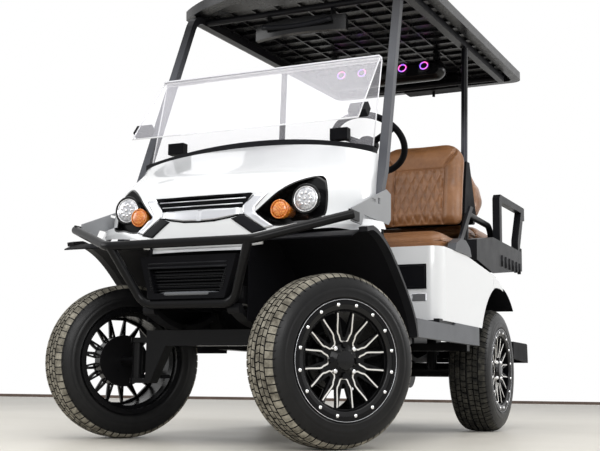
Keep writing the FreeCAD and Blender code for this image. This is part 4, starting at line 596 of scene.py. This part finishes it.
# maker, name, X, radius and number of its ring, profile of radius and height, finish, sides
trims = ((hoops, "beadRing_", 0.0925, 0, 1, [(0.1590, -0.0095), (0.1645, -0.0012), (0.1665, 0.0), (0.1900, 0.0005),
                                             (0.1935, 0.0015), (0.1950, 0.0), (0.1930, -0.0060), (0.1800, -0.0095)],
          glossBlack, 96),
         (domes, "rivets_", 0.0925, 0.1795, 16, button(0.0064, 0.0045), chrome, 14),
         (domes, "nuts_", 0.071, 0.0508, 4, button(0.0105, 0.016), chrome, 6),
         (domes, "hubCap_", 0.069, 0, 1, [(0.036, 0.0), (0.036, 0.012), (0.031, 0.019), (0.012, 0.021)],
          glossBlack, 40))
lipSet = {"x": 0.0945, "ring": 0.1955, "bar": 0.0009, "points": 96}
for end in wheelEnds:
    rim = {"slotName": "rim_black", "body": "wheel_" + end}
    tyre = wheelPiece("tread_", end, tyreVerts, tyreFaces, sidewall, "tyre_rubber")
    # front tyres take the lighter tread, which is dust and painted light; the rear take the dark one
    tyre.data.materials.append((litDustyTread if "front" in end else treadDark).material)
    tyre.data.polygons.foreach_set("material_index", tyreTops)
    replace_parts(tyre, "tyre_" + end)
    for name, (verts, faces), finish in spokes:
        wheelPiece(name, end, verts, faces, finish)
    spot = wheelMatrix(end)
    out = (spot.to_3x3() @ xAxis).normalized()
    for make, name, x, ring, count, profile, finish, sides in trims:
        spots = [(spot @ polar(x, ring, a), out) for a in turns(count, math.pi / count)]
        make(name + end, spots, profile, finish, sides=sides, **rim)
    line = [spot @ polar(lipSet["x"], lipSet["ring"], a) for a in turns(lipSet["points"])]
    tube("lipLine_" + end, line, lipSet["bar"], silverTrim, closed=True, sides=6, **rim)


# front face: lines are places across and up, from the middle to the cart's left

print("front face")
graph = bpy.context.evaluated_depsgraph_get()
trees = {name: BVHTree.FromObject(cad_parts[name], graph) for name in ("front_cowl", "bumper_panel", "rear_body")}
frontSet = {
    "before": -1.8, "search": -1.0, "edge": 0.02, "sunk": 0.002,
    "crease": [(0.0, 0.757), (0.06, 0.759), (0.115, 0.768), (0.150, 0.776), (0.185, 0.778), (0.222, 0.773)],
    "creaseBar": 0.0032, "chin": [(0.0, 0.674), (0.08, 0.674), (0.16, 0.676), (0.235, 0.684)], "chinBar": 0.011,
    "chinBack": 0.003,
    "panelTop": [(0.0, 0.803), (0.08, 0.803), (0.150, 0.802)],
    "panelLow": [(0.0, 0.760), (0.06, 0.762), (0.150, 0.779)],
    "armInner": [(0.196, 0.849), (0.160, 0.806), (0.163, 0.782), (0.205, 0.752), (0.246, 0.724)],
    "armOuter": [(0.245, 0.853), (0.203, 0.800), (0.206, 0.783), (0.238, 0.757), (0.274, 0.733)],
    "slantInner": [(0.120, 0.764), (0.158, 0.738), (0.198, 0.710)],
    "slantOuter": [(0.163, 0.779), (0.204, 0.752), (0.250, 0.722)],
}


def onFront(x, z, node="front_cowl"):
    # the point of a node's front skin at this place across and up
    spot = trees[node].ray_cast(at(x, frontSet["before"], z), yAxis)
    if spot[0] is None:
        spot = trees[node].find_nearest(at(x, frontSet["search"], z))
    return Vector((x, spot[0].y, z))


def skin(name, low, high, thick, finish, steps=(24, 6)):
    # thin cover on the cowl between two lines, with its edges sunk into it
    def along(line, share):
        spot = share * (len(line) - 1)
        k = min(int(spot), len(line) - 2)
        t = spot - k
        return [a * (1 - t) + b * t for a, b in zip(line[k], line[k + 1])]

    def shares(count):
        edge = frontSet["edge"]
        return [0.0, edge] + [(k + 1) / (count + 1) for k in range(count)] + [1 - edge, 1.0]

    verts, faces = [], []
    columns, rows = shares(steps[0]), shares(steps[1])
    for i, u in enumerate(columns):
        foot, head = along(low, u), along(high, u)
        for j, v in enumerate(rows):
            x, z = (a + (b - a) * v for a, b in zip(foot, head))
            edge = i in (0, len(columns) - 1) or j in (0, len(rows) - 1)
            verts.append(onFront(x, z) + Vector((0, frontSet["sunk"] if edge else -thick, 0)))
    for i in range(len(columns) - 1):
        for j in range(len(rows) - 1):
            a = i * len(rows) + j
            faces.append((a, a + len(rows), a + len(rows) + 1, a + 1))
    return meshPiece(name, verts, faces, finish)


def bothWays(points):
    return [(-x, z) for x, z in reversed(points)] + list(points)


skin("underGrille", bothWays(frontSet["panelLow"]), bothWays(frontSet["panelTop"]), 0.004, silverTrim)
for side, label in bothSides:
    for name, lines, thick, finish, steps in (("grilleArm", ("armOuter", "armInner"), 0.005, silverTrim, (16, 4)),
                                              ("slantPanel", ("slantInner", "slantOuter"), 0.003, graphite, (10, 4))):
        low, high = ([(side * x, z) for x, z in frontSet[line]] for line in lines[::side])
        skin(name + "_" + label, low, high, thick, finish, steps)
# black tube along the cowl's crease: painted shade of the groove in the white shell
tube("creaseShade", [onFront(x, z) for x, z in bothWays(frontSet["crease"])], frontSet["creaseBar"], blackPlastic,
     sides=8)
chin = [onFront(x, z) + yAxis * frontSet["chinBack"] for x, z in bothWays(frontSet["chin"])]
tube("chinLip", chin, frontSet["chinBar"], bodyWhite, "body_white", sides=16)

louverSet = {"count": 2, "first": 0.30, "step": 0.36, "inset": 0.018, "taper": 0.012, "proud": 0.0015, "bar": 0.0022}
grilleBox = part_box("front_grille")
for k in range(louverSet["count"]):
    z = grilleBox[0].z + (grilleBox[1].z - grilleBox[0].z) * (louverSet["first"] + louverSet["step"] * k)
    wide = grilleBox[1].x - louverSet["inset"] - louverSet["taper"] * (louverSet["count"] - 1 - k)
    line = [Vector((x, grilleBox[0].y - louverSet["proud"], z)) for x in (-wide, 0, wide)]
    tube("louverEdge_%d" % k, line, louverSet["bar"], silverTrim, sides=6)

# bumper panel: studs in staggered rows between bars
studSet = {"rows": 11, "half": 26, "foot": 0.032, "top": 0.052, "side": 0.036, "taper": 0.012, "sides": 6,
           "base": (0.0034, -0.001), "tip": (0.0019, 0.0022)}
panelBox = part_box("bumper_panel")
low, high = panelBox[0].z + studSet["foot"], panelBox[1].z - studSet["top"]
wide = panelBox[1].x - studSet["side"]
studs = []
for j in range(studSet["rows"]):
    share = j / (studSet["rows"] - 1)
    for i in range(-studSet["half"], studSet["half"] + 1):
        x = (i + 0.5 * (j % 2)) / (studSet["half"] + 0.5) * (wide - studSet["taper"] * (1 - share))
        studs.append((onFront(x, low + (high - low) * share, "bumper_panel"), -yAxis))
studMesh = stacked(studs, (studSet["base"], studSet["tip"]), studSet["sides"], False)
meshPiece("panelStuds", *studMesh, glossBlack, smooth=False)
barSet = {"panelFoot": (low - 0.014, 0.0065, greyPlastic), "panelShelf": (high + 0.012, 0.004, graphite),
          "panelBrow": (high + 0.026, 0.003, graphite)}
for name, (z, radius, finish) in barSet.items():
    tube(name, [onFront(x * wide, z, "bumper_panel") for x in (-1, -0.5, 0, 0.5, 1)], radius, finish)


def lampSpot(box, side):
    # the middle of a round lamp's front, and its radius
    radius = (box[1].z - box[0].z) / 2
    return Vector((side * (box[1].x - radius), box[0].y, (box[0].z + box[1].z) / 2)), radius


lampBox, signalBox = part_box("headlights"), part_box("turn_signals")
# maker, name, housing, inset from its radius, form and its measures, finish, slot, sides
lampParts = ((domes, "lampLens_", lampBox, 0.006, lensDome, (0.010,), lampCells, "lamp_clear", 48),
             (hoops, "lampRing_", lampBox, 0.004, ringBar, (0.0022, 0.001), chrome, "lamp_clear", 48),
             (hoops, "lampRim_", lampBox, -0.002, ringBar, (0.0045, 0.0), glossBlack, "gloss_black", 48),
             (domes, "signalLens_", signalBox, 0.003, lensDome, (0.009,), amber, "lamp_amber", 36),
             (hoops, "signalRing_", signalBox, 0.0, ringBar, (0.0028, 0.001), amber, "lamp_amber", 36))
beadSet = {"count": 9, "ring": 0.021, "lift": 0.0075, "midLift": 0.009, "form": (0.0048, 0.004)}
for side, label in bothSides:
    for make, name, box, inset, form, measures, finish, slotName, sides in lampParts:
        middle, radius = lampSpot(box, side)
        make(name + label, [(middle, -yAxis)], form(radius - inset, *measures), finish, slotName, sides=sides)
    middle = lampSpot(lampBox, side)[0]
    r, lift = beadSet["ring"], beadSet["lift"]
    beads = [middle + Vector((r * math.cos(a), -lift, r * math.sin(a))) for a in turns(beadSet["count"])]
    beads.append(middle - yAxis * beadSet["midLift"])
    domes("lampBeads_" + label, [(spot, -yAxis) for spot in beads], button(*beadSet["form"]), chrome, "lamp_clear",
          sides=10)


# screens, roof and small fittings

print("fittings")


def edgePoints(node, pick, reach=0.006):
    # the two far ends of a node's edge, where pick is highest
    verts = [v.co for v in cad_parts[node].data.vertices]
    best = max(pick(v) for v in verts)
    near = [v for v in verts if pick(v) > best - reach]
    return min(near, key=lambda v: v.x), max(near, key=lambda v: v.x)


screenSet = {"top": 0.0042, "foot": 0.0030, "side": 0.0026}
for label in ("lower", "upper"):
    top = edgePoints("windscreen_" + label, lambda v: v.z)
    foot = edgePoints("windscreen_" + label, lambda v: -v.z)
    edges = {"topEdge_" + label: (top, "top"), "footEdge_" + label: (foot, "foot")}
    for k, side in enumerate(("right", "left")):
        edges["sideEdge_%s_%s" % (label, side)] = ((foot[k], top[k]), "side")
    for name, (ends, key) in edges.items():
        tube(name, ends, screenSet[key], screenEdge, "screen_clear", sides=8)

speakerSet = {"x": (-0.2265, -0.111, 0.111, 0.2265), "y": 0.794, "z": 1.8146, "out": (0, -0.96, 0.27),
              "glow": (0.020, 0.0030, 0.002), "rim": (0.030, 0.004, 0.0),
              "cone": [(0.017, 0.0015), (0.010, 0.006), (0.004, 0.008)]}
speakers = [(at(x, speakerSet["y"], speakerSet["z"]), Vector(speakerSet["out"]).normalized()) for x in speakerSet["x"]]
hoops("speakerGlow", speakers, ringBar(*speakerSet["glow"]), ledGlow, "gloss_black", sides=32)
hoops("speakerRims", speakers, ringBar(*speakerSet["rim"]), glossBlack, "gloss_black", sides=36)
domes("speakerCones", speakers, speakerSet["cone"], graphite, "gloss_black", sides=28)

stripSet = {"points": 13, "inset": 0.05, "proud": 0.001, "foot": 0.030, "sweep": 0.012, "bar": 0.011}
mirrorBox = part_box("mirror")
wide = (mirrorBox[1].x - mirrorBox[0].x) / 2 - stripSet["inset"]
strip = []
for k in range(stripSet["points"]):
    share = k / (stripSet["points"] - 1) * 2 - 1
    high = mirrorBox[0].z + stripSet["foot"] + stripSet["sweep"] * share ** 2
    strip.append(Vector((share * wide, mirrorBox[0].y - stripSet["proud"], high)))
tube("mirrorStrip", strip, stripSet["bar"], graphite, sides=12)

ribSet = {"count": 6, "sunk": 0.002, "first": 0.06, "step": 0.075, "drop": (0.085, 0.14), "bar": 0.009}
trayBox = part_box("rear_tray")
for side, label in bothSides:
    x = side * (trayBox[1].x - ribSet["sunk"])
    for k in range(ribSet["count"]):
        y = trayBox[1].y - ribSet["first"] - ribSet["step"] * k
        line = [Vector((x, y, trayBox[1].z - drop)) for drop in ribSet["drop"]]
        tube("trayRib_%s_%d" % (label, k), line, ribSet["bar"], graphite, sides=12)


def sidePlate(name, side, outline, layers, finish, slotName="black_plastic"):
    # flat plate of places along and up, between two places across
    verts = [at(side * x, y, z) for x in layers for y, z in outline]
    return meshPiece(name, verts, outward(side, ringFaces(2, len(outline))), finish, slotName, smooth=False)


# the body's tail runs along the rear arch, an arc about the hub; the sill cover closes the slot over the rocker
tailSet = {"outer": [(0.7, 0.720), (0.74, 0.716), (0.80, 0.705), (0.868, 0.682), (0.887, 0.664)], "hub": (0.8, 0.157),
           "radius": 0.515, "points": 9, "thick": 0.004, "proud": 0.0012}
sillSet = {"outline": [(-0.13, 0.442), (0.3, 0.442), (0.3, 0.472), (-0.13, 0.472)], "layers": (0.562, 0.586)}
tail = list(tailSet["outer"])
(first, _), (last, _) = tail[0], tail[-1]
for k in range(tailSet["points"]):
    y = last + (first - last) * (k + 0.5) / tailSet["points"]
    tail.append((y, tailSet["hub"][1] + math.sqrt(tailSet["radius"] ** 2 - (y - tailSet["hub"][0]) ** 2)))
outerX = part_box("rear_body")[1].x + tailSet["proud"]
for side, label in bothSides:
    sidePlate("bodyTail_" + label, side, tail, (outerX - tailSet["thick"], outerX), bodyWhite, "body_white")
    sidePlate("sillCover_" + label, side, sillSet["outline"], sillSet["layers"], graphite)

plateSet = {"across": 0.44, "up": 0.42, "bar": 0.0018}
corners = ((-1, -1), (1, -1), (1, 1), (-1, 1))
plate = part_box("charger_plate")
middle, size = (plate[0] + plate[1]) / 2, plate[1] - plate[0]
line = [Vector((middle.x + u * plateSet["across"] * size.x, plate[0].y, middle.z + v * plateSet["up"] * size.z))
        for u, v in corners]
tube("plateLine", line, plateSet["bar"], graphite, closed=True, sides=8)

# layers of the blank tag: how far its face lies behind the body's, and how much it grows
tagSet = {"x": 0.028, "drop": 0.034, "before": 0.2, "half": (0.030, 0.015),
          "layers": ((0.001, 0.0), (-0.0015, 0.0), (-0.0025, -0.002))}
tagX, tagZ = middle.x + tagSet["x"], plate[0].z - tagSet["drop"]
tagY = trees["rear_body"].ray_cast(Vector((tagX, plate[0].y - tagSet["before"], tagZ)), yAxis)[0].y
tagVerts = []
for back, grow in tagSet["layers"]:
    for u, v in corners:
        tagVerts.append((tagX + u * (tagSet["half"][0] + grow), tagY + back, tagZ + v * (tagSet["half"][1] + grow)))
meshPiece("blankTag", tagVerts, ringFaces(3, 4), silverTrim, smooth=False)


# seats

print("seats")
clothSet = {"pressure": 4.0, "frames": 20, "cap": 0.014, "quality": 4, "stiffness": 12}
# foam is cut this much smaller all round, and swells back; a seam dies out over fade
inset = 0.011
fade = 0.03


def dressed(piece):
    # the piece's mesh as its modifiers leave it
    return piece.evaluated_get(bpy.context.evaluated_depsgraph_get())


def applied(piece):
    piece.data = bpy.data.meshes.new_from_object(dressed(piece))
    piece.modifiers.clear()


def swell(piece):
    # blows the closed form up a little as sewn foam, then holds each point near where it began
    start = [v.co.copy() for v in piece.data.vertices]
    cloth = piece.modifiers.new("cloth", "CLOTH")
    cloth.settings.use_pressure = True
    cloth.settings.uniform_pressure_force = clothSet["pressure"]
    cloth.settings.effector_weights.gravity = 0
    cloth.settings.quality = clothSet["quality"]
    cloth.settings.tension_stiffness = cloth.settings.compression_stiffness = clothSet["stiffness"]
    cloth.point_cache.frame_start, cloth.point_cache.frame_end = 1, clothSet["frames"]
    for k in range(1, clothSet["frames"] + 1):
        scene.frame_set(k)
    moved = [v.co.copy() for v in dressed(piece).data.vertices]
    piece.modifiers.remove(cloth)
    for v, old, new in zip(piece.data.vertices, start, moved):
        shift = new - old
        if shift.length > clothSet["cap"]:
            shift = shift.normalized() * clothSet["cap"]
        v.co = old + shift
    scene.frame_set(1)


def smoothStep(low, high, value):
    t = max(0.0, min(1.0, (value - low) / (high - low)))
    return t * t * (3 - 2 * t)


def groove(distance, width, depth):
    return -depth * math.exp(-(distance / width) ** 2)


def roundedOutline(wide, tall, radii, steps=6):
    # closed outline about the origin; radii start at the low left corner and go round
    points = []
    for (u, v, start), r in zip(((-1, -1, 180), (1, -1, 270), (1, 1, 0), (-1, 1, 90)), radii):
        cx, cy = u * (wide / 2 - r), v * (tall / 2 - r)
        for k in range(steps + 1):
            a = math.radians(start + 90 * k / steps)
            points.append((cx + r * math.cos(a), cy + r * math.sin(a)))
    return points


def foamBlock(name, outline, axis, half, bevel, voxel):
    # closed prism: the outline lies across the axis, and its long edges are rounded
    def corner(u, v, along):
        return {"X": (along, u, v), "Y": (u, along, v), "Z": (u, v, along)}[axis]

    shape = bmesh.new()
    rings = [[shape.verts.new(corner(u, v, along)) for u, v in outline] for along in (-half, half)]
    caps = [shape.faces.new(ring) for ring in rings]
    low, high = rings
    for corners in zip(low, low[1:] + low[:1], high[1:] + high[:1], high):
        shape.faces.new(corners)
    bmesh.ops.recalc_face_normals(shape, faces=shape.faces)
    edges = list({edge for cap in caps for edge in cap.edges})
    bmesh.ops.bevel(shape, geom=edges, offset=bevel, segments=4, affect="EDGES", profile=0.5, clamp_overlap=True)
    mesh = bpy.data.meshes.new(name)
    shape.to_mesh(mesh)
    shape.free()
    piece = placed(name, mesh)
    remesh = piece.modifiers.new("remesh", "REMESH")
    remesh.mode, remesh.voxel_size = "VOXEL", voxel
    applied(piece)
    return piece


def relax(piece, rounds=5, factor=0.5):
    shape = bmesh.new()
    shape.from_mesh(piece.data)
    for _ in range(rounds):
        bmesh.ops.smooth_vert(shape, verts=shape.verts, factor=factor, use_axis_x=True, use_axis_y=True,
                              use_axis_z=True)
    shape.to_mesh(piece.data)
    shape.free()


def divided(piece):
    fine = piece.modifiers.new("fine", "SUBSURF")
    fine.levels = fine.render_levels = 1
    applied(piece)


def fitTo(piece, size):
    # stretches the sewn form to fill its own place, with its middle at the origin
    for i in range(3):
        values = [v.co[i] for v in piece.data.vertices]
        low, high = min(values), max(values)
        for v in piece.data.vertices:
            v.co[i] = (v.co[i] - (low + high) / 2) * size[i] / (high - low)


def sewn(piece, size, dress, matrix, body):
    # dress moves each point of the finished foam: it takes the point and half the size, and returns the shift
    swell(piece)
    relax(piece)
    divided(piece)
    fitTo(piece, size)
    half = [s / 2 for s in size]
    for v in piece.data.vertices:
        co = v.co + dress(v.co, *half)
        v.co = [max(-h, min(h, c)) for c, h in zip(co, half)]
    piece.data.transform(matrix)
    piece.data.materials.append(leather.material)
    piece.data.shade_smooth()
    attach(piece, body)
    return piece


def benchDress(point, hx, hy, hz):
    # crowned top, sides drawn in at the middle, seams round the top and across the seats
    crown, ring, panels, panelEnd, pinch, girdle = 0.012, 0.052, (0.0, 0.44, -0.44), 0.045, 0.004, 0.45
    x, y, z = point
    shift = Vector((0, 0, 0))
    inX, inY = hx - abs(x), hy - abs(y)
    edge = min(inX, inY)
    if z > 0:
        shift.z += crown * smoothStep(0.0, 0.12, edge) - crown
        shift.z += groove(edge - ring, 0.0042, 0.005) * smoothStep(fade / 2, fade, z)
        for share in panels:
            shift.z += groove(x - hx * share, 0.006, 0.007) * smoothStep(0.0, fade, inY - panelEnd)
    side = 1 - smoothStep(0.0, fade, edge)
    out = xAxis * math.copysign(1, x) if inX < inY else yAxis * math.copysign(1, y)
    shift -= out * pinch * side * (1 - abs(z) / hz)
    return shift + out * groove(z + hz * girdle, 0.0035, 0.004) * side


def quilt(x, z):
    # height of diamonds puffed up between crossing seams
    wide, tall, slant, puff, base, seamRun = 0.042, 0.097, 0.92, 0.0095, 0.005, 0.0085
    a, b = (x / wide + z / tall) % 1.0, (x / wide - z / tall) % 1.0
    seam = min(a, 1 - a, b, 1 - b) * wide * slant
    return puff * (1 - math.exp(-(seam / seamRun) ** 2)) - base


def backDress(point, hx, hy, hz):
    # local X across, minus Y out of the front, Z up: bolsters, a head panel and a quilted middle
    lift, head, blend, piping = 0.012, 0.009, 0.004, 0.55
    x, y, z = point
    inX, inZ = hx - abs(x), hz - abs(z)
    band = hz * 0.36
    bolster = 0.088 - 0.045 * smoothStep(band, hz * 0.8, z)
    shift = Vector((0, 0, 0))
    if y < 0:
        face = smoothStep(0.0, hy * 0.6, -y)
        flat = face * smoothStep(bolster - blend, bolster + blend, inX)
        shift.y += lift * face
        shift.y -= lift * face * smoothStep(0.0, fade, inX) * (1 - smoothStep(bolster - fade, bolster, inX))
        shift.y -= head * flat * smoothStep(band, band + 2 * fade, z) * smoothStep(0.0, 0.05, hz - z)
        shift.y -= groove(inX - bolster, 0.0040, 0.009) * face * smoothStep(0.0, fade, hz * 0.86 - z)
        shift.y -= groove(z - band, 0.0036, 0.006) * flat
        shift.y -= quilt(x, z) * flat * (1 - smoothStep(band - 0.006, band, z)) * smoothStep(0.0, fade, z + hz)
    rim = 1 - smoothStep(0.0, 0.012, min(inX, inZ))
    out = xAxis * math.copysign(1, x) if inX < inZ else zAxis * math.copysign(1, z)
    for level in (piping, -piping):
        shift += out * groove(y - level * hy, 0.0035, 0.0035) * rim
    return shift


def wedgeDress(point, hx, hy, hz):
    # seams a hand's breadth from each end and round the rear face
    seam, crown, level, slope = 0.058, 0.006, 0.30, 0.5
    x, y, z = point
    side = hx - abs(x)
    dip = groove(side - seam, 0.0045, 0.006) * smoothStep(0.02, 0.035, side)
    panel = smoothStep(0.055, 0.06, side) * smoothStep(0.0, 0.02, y)
    dip += groove(z - hz * level + y * slope, 0.0045, 0.005) * panel
    away = Vector((0, y, z)).normalized() if abs(y) + abs(z) > 0.001 else Vector((0, 0, 0))
    return away * (dip - crown * (1 - smoothStep(0.0, 2 * fade, side)))


def pad(name, box, body, axis, dress, bevel, voxel, outline=None, radii=None):
    # a sewn pad that fills its box; an outline is given about the box's middle, or else radii for a rounded one
    low, high = box
    size = tuple(high - low)
    index = "XYZ".index(axis)
    wide, tall = [size[i] for i in range(3) if i != index]
    if outline is None:
        outline = roundedOutline(wide - 2 * inset, tall - 2 * inset, radii)
    else:
        outline = [(u * (1 - 2 * inset / wide), v * (1 - 2 * inset / tall)) for u, v in outline]
    piece = foamBlock(name, outline, axis, size[index] / 2 - inset, bevel, voxel)
    return sewn(piece, size, dress, Matrix.Translation((low + high) / 2), body)


benches = (("frontBench", "seat_bottom_front", "seat_front", 0.030, (0.06, 0.06, 0.05, 0.05)),
           ("rearBench", "seat_bottom_rear", "seat_rear", 0.032, (0.03, 0.03, 0.06, 0.06)),
           ("rearLedge", "rear_seat_ledge", "cart", 0.020, (0.03, 0.03, 0.02, 0.02)))
for name, node, body, bevel, radii in benches:
    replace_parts(pad(name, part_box(node), body, "Z", benchDress, bevel, 0.0085, radii=radii), node)

# front backs: their own leaning frame, repeated for the other seat
backSet = {"y": 0.452, "z": 0.950, "run": 0.392, "lean": 0.068, "thick": 0.080, "inner": 0.084, "outer": 0.502,
           "radii": (0.03, 0.03, 0.095, 0.095), "bevel": 0.028, "voxel": 0.0065, "fill": 0.85}
lean = math.atan2(backSet["lean"], backSet["run"])
high = math.hypot(backSet["run"], backSet["lean"])
size = (backSet["outer"] - backSet["inner"], backSet["thick"], high)
up = Vector((0, math.sin(lean), math.cos(lean)))
through = Vector((0, math.cos(lean), -math.sin(lean)))
outline = roundedOutline(size[0] - 2 * inset, high - 2 * inset, backSet["radii"])
for side, label in bothSides:
    foot = at(side * (backSet["inner"] + backSet["outer"]) / 2, backSet["y"], backSet["z"])
    middle = foot + through * size[1] / 2 + up * high / 2
    matrix = Matrix.Translation(middle) @ Matrix.Rotation(-lean, 4, "X")
    piece = foamBlock("frontBack_" + label, outline, "Y", size[1] / 2 - inset, backSet["bevel"], backSet["voxel"])
    sewn(piece, size, backDress, matrix, "cart")

# rear backs: one profile from the side for both seats, up the lean of the frame and back down the bulging face
rearSet = {"y": 0.749, "z": 1.014, "lean": 0.112, "high": 0.244, "bulge": 0.215, "bevel": 0.030, "voxel": 0.0068}
y, z, lean, high, bulge = (rearSet[k] for k in ("y", "z", "lean", "high", "bulge"))
sideLine = [(y, z), (y - lean, z + high), (y - lean * 0.86, z + high * 1.13), (y - lean * 0.2, z + high * 0.95),
            (y + bulge * 0.5, z + high * 0.71), (y + bulge * 0.8, z + high * 0.44),
            (y + bulge * 0.74, z + high * 0.28), (y + bulge * 0.36, z + high * 0.04)]
low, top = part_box("rear_seat_backs")
centre = (low + top) / 2
sideLine = [(y + baseY - centre.y, z - centre.z) for y, z in sideLine]
for side, label in bothSides:
    ends = sorted((side * backSet["inner"], side * backSet["outer"]))
    box = Vector((ends[0], low.y, low.z)), Vector((ends[1], top.y, top.z))
    pad("rearBack_" + label, box, "cart", "X", wedgeDress, rearSet["bevel"], rearSet["voxel"], outline=sideLine)
for _, label in bothSides:
    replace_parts(bpy.data.objects["frontBack_" + label], "front_seat_backs")
    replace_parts(bpy.data.objects["rearBack_" + label], "rear_seat_backs")

print("finish")
